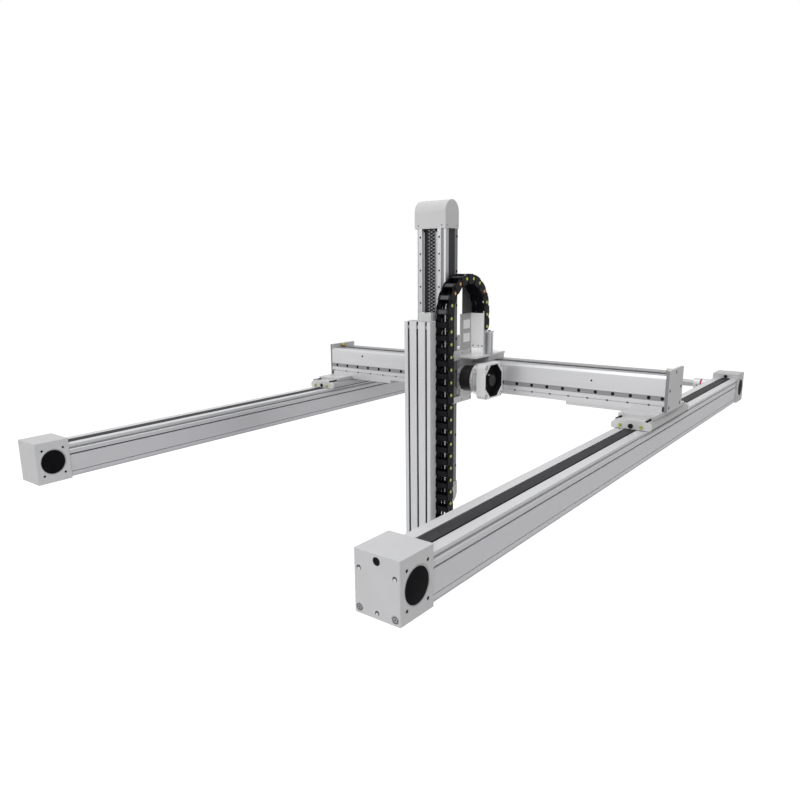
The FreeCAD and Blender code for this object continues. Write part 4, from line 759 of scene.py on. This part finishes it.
def post_fittings(shape):
    # Painted shade: dark lines along the grooves of the post's four faces.
    for edge in (POST_FRONT - GROOVE_LIFT, POST_BACK + GROOVE_LIFT):
        near, far = edge - GROOVE_SKIN, edge + GROOVE_SKIN
        shape.box(POST_X - 5, POST_X + 5, near, far, *POST_GROOVE, shade_line_grey, 0)
    for edge in (POST_LEFT - GROOVE_LIFT, POST_RIGHT + GROOVE_LIFT):
        near, far = edge - GROOVE_SKIN, edge + GROOVE_SKIN
        shape.box(near, far, POST_Y - 3, POST_Y + 3, *POST_GROOVE, band_grey, 0)
    for x in FOOT_SCREWS:
        socket_screw(shape, "Z", (x, POST_Y, FOOT_TOP), 4.4, 3.6, dark_screw)
    for z, x in CLIPS:
        socket_screw(shape, "-Y", (x, CLIP_FACE, z), 2.4, 1.2, white_plastic)


fit(post_fittings, "x_carriage")

# Sheet bracket with two windows, and the dark guard behind the energy chain

WING_FACE = 112.0
BRACKET_FACE = 6.0
BRACKET_SCREWS = (
    ("-Y", (16, 40, 57), [WING_FACE], [330], 3.0),
    ("X", [BRACKET_FACE], (46, 104), [326], 2.6),
)
WINDOW_LIGHT_X = (3.6, 5.2)
WINDOW_LIGHT_Y = (55.6, 102.4)
WINDOW_LIGHT_LEVELS = ((346.6, 381.4), (398.6, 433.4))
GUARD_FRONT, GUARD_BACK = 52.0, 138.0
GUARD_LOW, GUARD_TOP = 438.0, 580.0
GUARD_ROUND = 14.0
GUARD_SHEET = 1.5
GUARD_SCREWS = (62, 101)


def bracket_screws(shape):
    """Screws of the bracket's wing and face, and white panes in its windows, painted as the light seen
    through them.
    """
    screw_rows(shape, BRACKET_SCREWS, bracket_sheet)
    for low, high in WINDOW_LIGHT_LEVELS:
        shape.box(*WINDOW_LIGHT_X, *WINDOW_LIGHT_Y, low, high, window_light_white, 0.3)


def chain_guard(shape):
    """Upright sheet with rounded top corners, screwed to the left face of the bracket."""
    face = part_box("guide_bracket")[0][0] / MM
    outline = [(GUARD_BACK, GUARD_LOW)]
    for start, y in ((0, GUARD_BACK - GUARD_ROUND), (90, GUARD_FRONT + GUARD_ROUND)):
        for step in range(7):
            angle = radians(start + 15 * step)
            z = GUARD_TOP - GUARD_ROUND * (1 - sin(angle))
            outline.append((y + GUARD_ROUND * cos(angle), z))
    outline.append((GUARD_FRONT, GUARD_LOW))
    shape.prism("X", outline, face - GUARD_SHEET, face, guard_grey, 0.2)
    for y in GUARD_SCREWS:
        socket_screw(shape, "-X", (face - GUARD_SHEET, y, GUARD_LOW + 7), 3.0, 1.6, dark_screw)


fit(bracket_screws, "x_carriage")
fit(chain_guard, "x_carriage")

# Drive train: gearbox, motor flange and clamp hub

AXIS_Y, AXIS_Z = 50.025, 210.0
GEARBOX_FACE = 24.0
GEARBOX_SCREW = 34.0
RIDGE_STARTS = (30, 47, 64)
RIDGE = [(0, 49.3), (0.6, 50.4), (1.4, 50.4), (2.0, 49.3)]
RINGS = ((78.5, 61.2), (88.0, 61.9), (99.0, 61.9))
RING_FOOT = 60.8
RING_BACK = 77.9
RING_SCREW_CIRCLE = 50.0
FLANGE_FACE = 149.0
FLANGE_HOLE = 55.0
# Painted shade ring and painted light disc of the flange's corner holes.
HOLE_RIM = [(0, 7.4), (0.12, 7.2), (0.12, 5.2), (0.05, 5.0), (0.05, TIP)]
HOLE_LIGHT = [(0.05, 4.9), (0.14, 4.7), (0.14, TIP)]
RECESS_FLOOR = 124.6
RECESS_MOUTH = 147.6
RECESS_HALF = 60.8
RECESS_CORNER = 36.0
RECESS_BORE = 22.6
RECESS_WALL = 0.9
HUB_MOUTH = 142.3
HUB_PROFILE = [(0, 21.4), (1.2, 20.6), (1.2, 16.5), (0.2, 16.0), (0.2, 12.6), (0.05, 12.4)]
HUB_CLAMP_X = 133.0
HUB_CLAMP_TURN = 0.5
HUB_CLAMP_TOP = 24.2
HUB_CLAMP = (-6, 6, -7.5, 7.5, 20.5, HUB_CLAMP_TOP)


def recess_ring(x, half=0.0, radius=0.0):
    """Ring round the motor axis: a circle of the radius, or the eight-sided recess at half its width."""
    ring = []
    for step in range(64):
        angle = 2 * pi * step / 64
        across, up = abs(cos(angle)), abs(sin(angle))
        reach = radius or min(half / max(across, up), (2 * half - RECESS_CORNER) / (across + up))
        ring.append((x, AXIS_Y + reach * cos(angle), AXIS_Z + reach * sin(angle)))
    return ring


def gearbox_fittings(shape):
    """Flange screws, ridges of the gear ring, and the rings and screws of the gearbox body."""
    for reach_y, reach_z in corners(GEARBOX_SCREW, GEARBOX_SCREW):
        place = (GEARBOX_FACE, AXIS_Y + reach_y, AXIS_Z + reach_z)
        socket_screw(shape, "X", place, 5.0, 5.0, dark_screw)
    for start in RIDGE_STARTS:
        shape.lathe("X", (start, AXIS_Y, AXIS_Z), RIDGE, dark_steel, 48)
    for start, reach in RINGS:
        profile = [(0, RING_FOOT), (0.8, reach), (6.2, reach), (7.0, RING_FOOT)]
        shape.lathe("X", (start, AXIS_Y, AXIS_Z), profile, bright_steel, 64)
    for number in range(8):
        angle = radians(22.5 + 45 * number)
        y = AXIS_Y + RING_SCREW_CIRCLE * cos(angle)
        z = AXIS_Z + RING_SCREW_CIRCLE * sin(angle)
        socket_screw(shape, "-X", (RING_BACK, y, z), 3.4, 2.4, dark_screw)


def flange_fittings(shape):
    """Corner holes of the motor flange, each a painted shade ring round a painted light disc, and black on
    the floor and wall of its recess as painted shade.
    """
    for reach_y, reach_z in corners(FLANGE_HOLE, FLANGE_HOLE):
        place = (FLANGE_FACE, AXIS_Y + reach_y, AXIS_Z + reach_z)
        shape.lathe("X", place, HOLE_RIM, deep_black, 24)
        shape.lathe("X", place, HOLE_LIGHT, bright_steel, 20)
    back = RECESS_FLOOR - 0.5
    floor_half = RECESS_HALF - 0.1
    shape.loops([
        recess_ring(back, floor_half), recess_ring(RECESS_FLOOR, floor_half),
        recess_ring(RECESS_FLOOR, radius=RECESS_BORE), recess_ring(back, radius=RECESS_BORE),
    ], deep_black, hollow=True)
    inner_half = RECESS_HALF - RECESS_WALL
    shape.loops([
        recess_ring(RECESS_FLOOR, RECESS_HALF), recess_ring(RECESS_MOUTH, RECESS_HALF),
        recess_ring(RECESS_MOUTH, inner_half), recess_ring(RECESS_FLOOR, inner_half),
    ], deep_black, hollow=True)


def drive_fittings(shape):
    gearbox_fittings(shape)
    flange_fittings(shape)


def hub_clamp(shape):
    """Chamfered mouth of the input hub, and its clamp with a screw."""
    shape.lathe("X", (HUB_MOUTH, AXIS_Y, AXIS_Z), HUB_PROFILE, dark_steel, 40)
    shape.stand((HUB_CLAMP_X, AXIS_Y, AXIS_Z), HUB_CLAMP_TURN)
    shape.box(*HUB_CLAMP, dark_steel, 1.2)
    socket_screw(shape, "Z", (0, 0, HUB_CLAMP_TOP), 4.0, 2.6, bright_steel)


fit(drive_fittings, "x_carriage")
fit(hub_clamp, "input_hub")

# Column: rail bolts, side holes, cap screws, edge and side strips, painted shade in the chain channel and
# stop bumpers

RAIL_TIP = -76.0
FRONT_RAILS = (-102.3, -17.7)
REAR_RAILS = (-106.0, -14.0)
REAR_TIP = 29.5
RAIL_TOP_BOLT = 742.7
RAIL_PITCH = 60.0
RAIL_BOLTS = 16
SIDE_TOP_HOLE = 745.0
SIDE_PITCH = 126.6
SIDE_HOLES = 8
SIDE_HOLE_MIDDLE = 8.5
COLUMN_LEFT, COLUMN_RIGHT = -124.0, 4.0
COLUMN_LOW, COLUMN_TOP = -204.8, 772.8
STRIP_LIFT = 0.08
CAP_LEFT, CAP_RIGHT = -130.0, 8.0
CAP_FRONT = -73.15
CAP_LEVELS = (784.0, -214.0)
CAP_SCREWS = (
    ("-Y", (-113, -9), [CAP_FRONT], CAP_LEVELS, 3.0),
    ("X", [CAP_RIGHT], (-62, 4), CAP_LEVELS, 2.6),
    ("-X", [CAP_LEFT], (-62, 4), CAP_LEVELS, 2.6),
)
EDGE_Y = (-68.15, -63.4)
STRIP_Y = (-4.8, 14.3)
CHANNEL_Z = (-204.5, 772.5)
CHANNEL_FLOOR = (-87.6, -76.8, -61.6, -59.05)
CHANNEL_WALL = (-87.9, -87.5, -67.6, -59.05)
STOP_X = (-87.3, -32.7)
STOP_Y = -72.2
STOP_PROFILE = [(0, 3.2), (7.5, 3.2), (10.5, 2.6), (11.8, 1.2), (11.8, TIP)]


def column_fittings(shape):
    """Bolt holes along the rails, holes in the side strips, and screws of both caps."""
    for number in range(RAIL_BOLTS):
        level = RAIL_TOP_BOLT - RAIL_PITCH * number
        for x in FRONT_RAILS:
            dark_hole(shape, "-Y", (x, RAIL_TIP, level), 3.7, rail_steel)
        for x in REAR_RAILS:
            dark_hole(shape, "Y", (x, REAR_TIP, level - 20), 3.7, rail_steel)
    for number in range(SIDE_HOLES):
        level = SIDE_TOP_HOLE - SIDE_PITCH * number
        for face, axis in ((COLUMN_RIGHT + STRIP_LIFT, "X"), (COLUMN_LEFT - STRIP_LIFT, "-X")):
            dark_hole(shape, axis, (face, SIDE_HOLE_MIDDLE, level), 5.4, strip_grey)
    screw_rows(shape, CAP_SCREWS, cap_grey)


def column_edges(shape):
    """Painted highlight strips along the front edges of the column, and a grey strip on each of its sides,
    its grey darkened to stand for the chain's shadow.
    """
    ends = (COLUMN_LOW, COLUMN_TOP)
    for side, sense in ((COLUMN_RIGHT, 1), (COLUMN_LEFT, -1)):
        shape.box(side - 4.4 * sense, side + SKIN * sense, *EDGE_Y, *ends, edge_highlight, 0.3)
        shape.box(side - 0.3 * sense, side + STRIP_LIFT * sense, *STRIP_Y, *ends, strip_grey, 0)


def channel_shade(shape):
    """Painted shade: black on the floor and left wall of the channel beside the lift chain."""
    shape.box(*CHANNEL_FLOOR, *CHANNEL_Z, band_black, 0.3)
    shape.box(*CHANNEL_WALL, *CHANNEL_Z, band_black, 0.1)


def column_stops(shape):
    """Two rubber bumpers at each end of the column's front."""
    for x in STOP_X:
        for level, axis in ((COLUMN_TOP, "-Z"), (COLUMN_LOW, "Z")):
            shape.lathe(axis, (x, STOP_Y, level), STOP_PROFILE, black_plastic, 20)


fit(column_fittings, "z_column")
fit(column_edges, "z_column")
fit(channel_shade, "z_column")
fit(column_stops, "z_column")

# Lift chain of the column, round both sprockets

SPROCKET_Y = -29.15
SPROCKET_TOP, SPROCKET_BOTTOM = 831.0, -247.0
LIFT_RADIUS = 34.3
LIFT_PITCH = 12.7
STRANDS = ((-72.8, -64.4), (-62.2, -53.8), (-51.6, -43.2))
ROLLER_RADIUS = 3.6
PLATE_THICK = 1.5
PLATE_OUTLINE = [
    (-6.2, -2.6), (-2.5, -3.7), (2.5, -3.7), (6.2, -2.6), (6.2, 2.6), (2.5, 3.7), (-2.5, 3.7), (-6.2, 2.6),
]


def lift_path():
    """Places (y, z) and angles along the loop, one each half pitch, for a whole number of pitches."""
    run = SPROCKET_TOP - SPROCKET_BOTTOM
    half = run + pi * LIFT_RADIUS
    count = 2 * round(2 * half / LIFT_PITCH)
    for number in range(count):
        along = 2 * half * (number % (count // 2)) / count
        y, z, angle = SPROCKET_Y - LIFT_RADIUS, SPROCKET_BOTTOM + along, pi / 2
        if along >= run:
            turned = pi - (along - run) / LIFT_RADIUS
            y = SPROCKET_Y + LIFT_RADIUS * cos(turned)
            z = SPROCKET_TOP + LIFT_RADIUS * sin(turned)
            angle = turned - pi / 2
        if number >= count // 2:
            y, z, angle = 2 * SPROCKET_Y - y, SPROCKET_TOP + SPROCKET_BOTTOM - z, angle + pi
        yield y, z, angle


def lift_chain_links(shape):
    """Three strands side by side: each link of the middle one is half a pitch from its neighbours."""
    for number, (y, z, angle) in enumerate(lift_path()):
        shape.stand((0, y, z), angle)
        for strand, (low, high) in enumerate(STRANDS):
            if (number + strand) % 2:
                continue
            shape.lathe("X", (low, 0, 0), [(0, ROLLER_RADIUS), (high - low, ROLLER_RADIUS)], chain_steel, 8)
            for x in (low - PLATE_THICK - 0.2, high + 0.2):
                shape.prism("X", PLATE_OUTLINE, x, x + PLATE_THICK, chain_plate)


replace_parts(fit(lift_chain_links, "z_column", sharp=50), "lift_chain")

# Arm: slider screws, black groove floors as painted shade, slot nuts, tool plate holes and the chain's clamp

ARM_FRONT = -165.3
ARM_TOP = 440.0
ARM_GROOVES = (-93.5, -54.0, -14.5)
ARM_SLIDER_BACK, ARM_SLIDER_FRONT = -96.3, -110.3
TOOL_FACE = -452.0
CLAMP_FRONT, CLAMP_TOP = -110.2, 466
CLAMP = (-82, -34, CLAMP_FRONT, -97, 443, CLAMP_TOP)
CLAMP_HOLE = (-74, CLAMP_FRONT, 452)
CLAMP_CLIPS = (-76, -48)
ARM_SCREWS = (
    ("Y", (-104, -74, -34, -5), [ARM_SLIDER_BACK], (308, 432), 2.8),
    ("-Y", (-122, -4), [ARM_SLIDER_FRONT], (312, 370, 428), 2.8),
    ("-Z", (-98, -10), (-123, -152), [TOOL_FACE], 3.6),
)


def arm_fittings(shape):
    screw_rows(shape, ARM_SCREWS, plate)
    reach = ARM_TOP - 0.5
    for x in ARM_GROOVES:
        # Painted shade: black strips on the floors of the arm's grooves.
        shape.box(x - 4.4, x + 4.4, ARM_FRONT + 3.4, ARM_FRONT + 5.95, -reach, reach, deep_black, 0)
        shape.box(x - 4.3, x + 4.3, ARM_FRONT + 0.6, ARM_FRONT + 3.3, ARM_TOP - 26, ARM_TOP - 14, band_grey)


def chain_clamp(shape):
    """Clamp block on top of the arm, with a hole and two white clips."""
    shape.box(*CLAMP, plate, 1.2)
    dark_hole(shape, "-Y", CLAMP_HOLE, 3.6, plate)
    for x in CLAMP_CLIPS:
        shape.box(x, x + 9, -106, -98, CLAMP_TOP, CLAMP_TOP + 4, white_plastic, 1.0)


fit(arm_fittings, "z_arm")
fit(chain_clamp, "z_arm")

# Energy chain: the bend and its two straight runs

LINK_PITCH = 47.0
LINK_HALF = 18.5
LINK_LEFT = 5.0
LINK_WIDTH = 58.0
LINK_SIDE = 3.0
LINK_SKIN = 0.1
LINK_GAP = 0.3
LAP_RADIUS = 14.1
# Spans along a link from its near pin, of the slot across it, and of the boss both ways
WEB = (15.0, 32.0)
BAR = (13.5, 33.5)
SLOT = (16.0, 21.5)
BOSS = (18, 29, -3, 3)
STRAIGHT_COVER = (0.5, 46.5)
BENT_COVER = (1.5, 45.5)
PIN_SEAT = [(0, 7.2), (0.5, 7.0), (0.5, 6.4), (0.2, 6.2), (0.2, TIP)]
PIN_HEAD = [(0, 6.0), (0.6, 5.8), (0.9, 5.0), (0.9, 2.2), (0.5, 1.8), (0.5, TIP)]
LOOP_MIDDLE = (12.0, 467.5)
LOOP_RADIUS = 125.0
LOOP_LINKS = 8
LOOP_START, LOOP_STEP = 14.16, 21.67
ARM_SIDE = LOOP_MIDDLE[0] - LOOP_RADIUS
POST_SIDE = LOOP_MIDDLE[0] + LOOP_RADIUS
LOW_PIN = 451.21
ARM_LINKS = 18
ARM_END = LOW_PIN - LINK_PITCH * ARM_LINKS
FIXED_END = LOW_PIN - LINK_PITCH
AMBER_PINS = (1, 2, 6)


def lap_outline(pin, web, towards):
    """Side of a link in (y, z): square at its web, and round about the pin that it laps."""
    square = pin - towards * 7
    points = [(web, -LINK_HALF), (square, -LINK_HALF)]
    for step in range(9):
        angle = radians(-64 + 16 * step)
        points.append((pin + LAP_RADIUS * cos(angle) * towards, LAP_RADIUS * sin(angle)))
    return points + [(square, LINK_HALF), (web, LINK_HALF)]


def link_sides(shape):
    """Cranked sides: the outer half of each laps the far pin, and the inner half the near one."""
    inner_near = LINK_SIDE + LINK_GAP
    inner_far = inner_near + LINK_SIDE
    for wall, sense in ((0.0, 1), (LINK_WIDTH, -1)):
        outer = (wall + LINK_SKIN * sense, wall + LINK_SIDE * sense)
        inner = (wall + inner_near * sense, wall + inner_far * sense)
        shape.prism("X", lap_outline(LINK_PITCH, WEB[0], 1), *outer, chain_black, 0.6)
        shape.prism("X", lap_outline(0.0, WEB[1], -1), *inner, chain_black, 0.6)
        shape.box(wall + 0.2 * sense, inner[1], *WEB, -LINK_HALF, LINK_HALF, chain_black, 0.6)
    return inner_far


def chain_link(shape, start, end, pin_material, cover, rib):
    """One link between two pins in (y, z), with its outer side on the left and covers on its inner side."""
    shape.stand((LINK_LEFT, *start), atan2(end[1] - start[1], end[0] - start[0]))
    side_depth = link_sides(shape)
    shape.box(LINK_WIDTH, LINK_WIDTH + 0.4, *BOSS, chain_black, 0.15)
    shape.lathe("X", (LINK_WIDTH - 0.1, LINK_PITCH, 0), PIN_SEAT, chain_black, 20)
    shape.lathe("X", (LINK_WIDTH, LINK_PITCH, 0), PIN_HEAD, pin_material, 16)
    near, far = side_depth - 0.5, LINK_WIDTH - side_depth + 0.5
    rib_span = (BAR[0] + 3, BAR[1] - 3)
    shape.box(near, far, *BAR, LINK_HALF - 3.4, LINK_HALF - 0.2, chain_black, 0.9)
    shape.box(near, far, *rib_span, LINK_HALF - 0.6, LINK_HALF, rib, 0.3)
    low, high = -LINK_HALF + 0.2, -LINK_HALF + 2.6
    shape.box(near, SLOT[0], *cover, low, high, chain_black, 0.6)
    shape.box(SLOT[1], far, *cover, low, high, chain_black, 0.6)
    shape.box(SLOT[0] - 1, SLOT[1] + 1, *BAR, low, high, chain_black, 0.6)
    for x in (near + 1, far - 6):
        shape.box(x, x + 5, *rib_span, LINK_HALF - 0.4, LINK_HALF + 0.4, chain_black, 0.3)
    shape.box(22, 25, BAR[0] + 1, BAR[1] - 1, -LINK_HALF + 3, LINK_HALF - 3, chain_black, 0.5)


def chain_bend(shape):
    """Links round the bend, from the arm's side over the top to the post's side."""
    pins = [(ARM_SIDE, LOW_PIN)]
    for number in range(LOOP_LINKS):
        angle = radians(LOOP_START + LOOP_STEP * number)
        y = LOOP_MIDDLE[0] - LOOP_RADIUS * cos(angle)
        pins.append((y, LOOP_MIDDLE[1] + LOOP_RADIUS * sin(angle)))
    pins.append((POST_SIDE, LOW_PIN))
    for number, (start, end) in enumerate(zip(pins, pins[1:])):
        pin_material = pin_amber if number in AMBER_PINS else pin_green
        # The bars' ribs in the bend take the painted highlight grey.
        chain_link(shape, start, end, pin_material, BENT_COVER, bar_highlight_grey)


def chain_arm_links(shape):
    """Long run between the bend and the arm."""
    for number in range(ARM_LINKS):
        low = LOW_PIN - LINK_PITCH * (number + 1)
        start, end = (ARM_SIDE, low), (ARM_SIDE, low + LINK_PITCH)
        chain_link(shape, start, end, pin_green, STRAIGHT_COVER, chain_black)


def chain_fixed_links(shape):
    """One link between the bend and the post's bracket."""
    chain_link(shape, (POST_SIDE, LOW_PIN), (POST_SIDE, FIXED_END), pin_green, STRAIGHT_COVER, chain_black)


def stretch(links, node, first, second, levels):
    """The run stands for its node, and its place is baked into its mesh; the first and second body and the
    two levels are not used.
    """
    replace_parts(links, node)
    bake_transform(links)


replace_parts(fit(chain_bend, "z_column"), "chain_loop")
arm_links = fit(chain_arm_links, None)
stretch(arm_links, "chain_arm_run", "z_column", "z_arm", (LOW_PIN, ARM_END))
fixed_links = fit(chain_fixed_links, None)
stretch(fixed_links, "chain_fixed_run", "x_carriage", "z_column", (FIXED_END, LOW_PIN))

# Stage and world

FLOOR_LEVEL = -0.56
FLOOR_WIDTH = 60.0
FLOOR_GLOW = 1.22
GLOW_SHARE = 0.8
SKY_LIGHT = 0.2
WHITE = (1, 1, 1, 1)


def seen_rays(tree):
    """One for rays from the camera, from a glossy surface and through a clear one."""
    path = tree.nodes.new("ShaderNodeLightPath")
    seen = math_node(tree, "MAXIMUM", path.outputs["Is Camera Ray"], path.outputs["Is Glossy Ray"])
    return math_node(tree, "MAXIMUM", seen, path.outputs["Is Transmission Ray"])


def mixed(tree, share, first, second, output):
    """Shows the second shader for its share of the rays, and the first for the rest."""
    mix = tree.nodes.new("ShaderNodeMixShader")
    tree.links.new(share, mix.inputs["Fac"])
    tree.links.new(first, mix.inputs[1])
    tree.links.new(second, mix.inputs[2])
    tree.links.new(mix.outputs["Shader"], tree.nodes[output].inputs["Surface"])


def stage_surface():
    """Pale matt floor that takes shadows, and glows where it is seen, so that it shows as white."""
    material, tree, shader = new_material("stage_floor")
    grain = noise(tree, (1, 1, 1), 6)
    tree.links.new(ramp(tree, grain, (0.87, 0.87, 0.87), (0.9, 0.9, 0.9)), shader.inputs["Base Color"])
    shader.inputs["Roughness"].default_value = 0.9
    glow = tree.nodes.new("ShaderNodeEmission")
    glow.inputs["Strength"].default_value = FLOOR_GLOW
    share = math_node(tree, "MULTIPLY", seen_rays(tree), GLOW_SHARE)
    mixed(tree, share, shader.outputs["BSDF"], glow.outputs["Emission"], "Material Output")
    return material


bpy.ops.mesh.primitive_plane_add(size=FLOOR_WIDTH, location=(0, 0, FLOOR_LEVEL))
floor = bpy.context.object
floor.name = "floor"
floor.data.materials.append(stage_surface())

world = bpy.data.worlds.new("studio")
bpy.context.scene.world = world
world.use_nodes = True
world_tree = world.node_tree
sky = world_tree.nodes["Background"]
sky.inputs["Color"].default_value = WHITE
sky.inputs["Strength"].default_value = SKY_LIGHT
shown = world_tree.nodes.new("ShaderNodeBackground")
shown.inputs["Color"].default_value = WHITE
shown.inputs["Strength"].default_value = 1.0
seen = seen_rays(world_tree)
mixed(world_tree, seen, sky.outputs["Background"], shown.outputs["Background"], "World Output")

# Lamps

LAMP_TARGET = (0, 0, 0.2)


def area_lamp(name, place, width, power):
    lamp = bpy.data.lights.new(name, "AREA")
    lamp.shape = "SQUARE"
    lamp.size = width
    lamp.energy = power
    made = bpy.data.objects.new(name, lamp)
    made.location = place
    aim = Vector(LAMP_TARGET) - Vector(place)
    made.rotation_euler = aim.to_track_quat("-Z", "Y").to_euler()
    bpy.context.scene.collection.objects.link(made)


area_lamp("key", (1.7, -3.5, 2.6), width=3.0, power=88)
area_lamp("left", (-2.6, -3.0, 2.2), width=3.0, power=38)
area_lamp("top", (0.3, 0.3, 5.0), width=4.0, power=120)

# Camera, solved from the long parallel edges of the photograph

CAMERA_PLACE = (1.4567, -2.2175, 0.6473)
YAW, PITCH, ROLL = (radians(a) for a in (38.913, -12.695, -0.877))
FOCAL_PIXELS = 688.3
PICTURE_WIDTH = 800
SHIFT_X, SHIFT_Y = 0.0155, 0.0243

camera_data = bpy.data.cameras.new("camera")
camera_data.sensor_width = 36
camera_data.lens = FOCAL_PIXELS / PICTURE_WIDTH * camera_data.sensor_width
camera_data.shift_x = SHIFT_X
camera_data.shift_y = SHIFT_Y
camera_data.clip_start = 0.05
camera_data.clip_end = 100
camera = bpy.data.objects.new("camera", camera_data)
bpy.context.scene.collection.objects.link(camera)
ahead = Vector((-sin(YAW) * cos(PITCH), cos(YAW) * cos(PITCH), sin(PITCH)))
level_right = Vector((cos(YAW), sin(YAW), 0))
level_up = level_right.cross(ahead)
right = level_right * cos(ROLL) + level_up * sin(ROLL)
up = level_up * cos(ROLL) - level_right * sin(ROLL)
camera.matrix_world = Matrix((
    (right.x, up.x, -ahead.x, CAMERA_PLACE[0]),
    (right.y, up.y, -ahead.y, CAMERA_PLACE[1]),
    (right.z, up.z, -ahead.z, CAMERA_PLACE[2]),
    (0, 0, 0, 1),
))
bpy.context.scene.camera = camera
bpy.context.scene.view_settings.view_transform = "Standard"
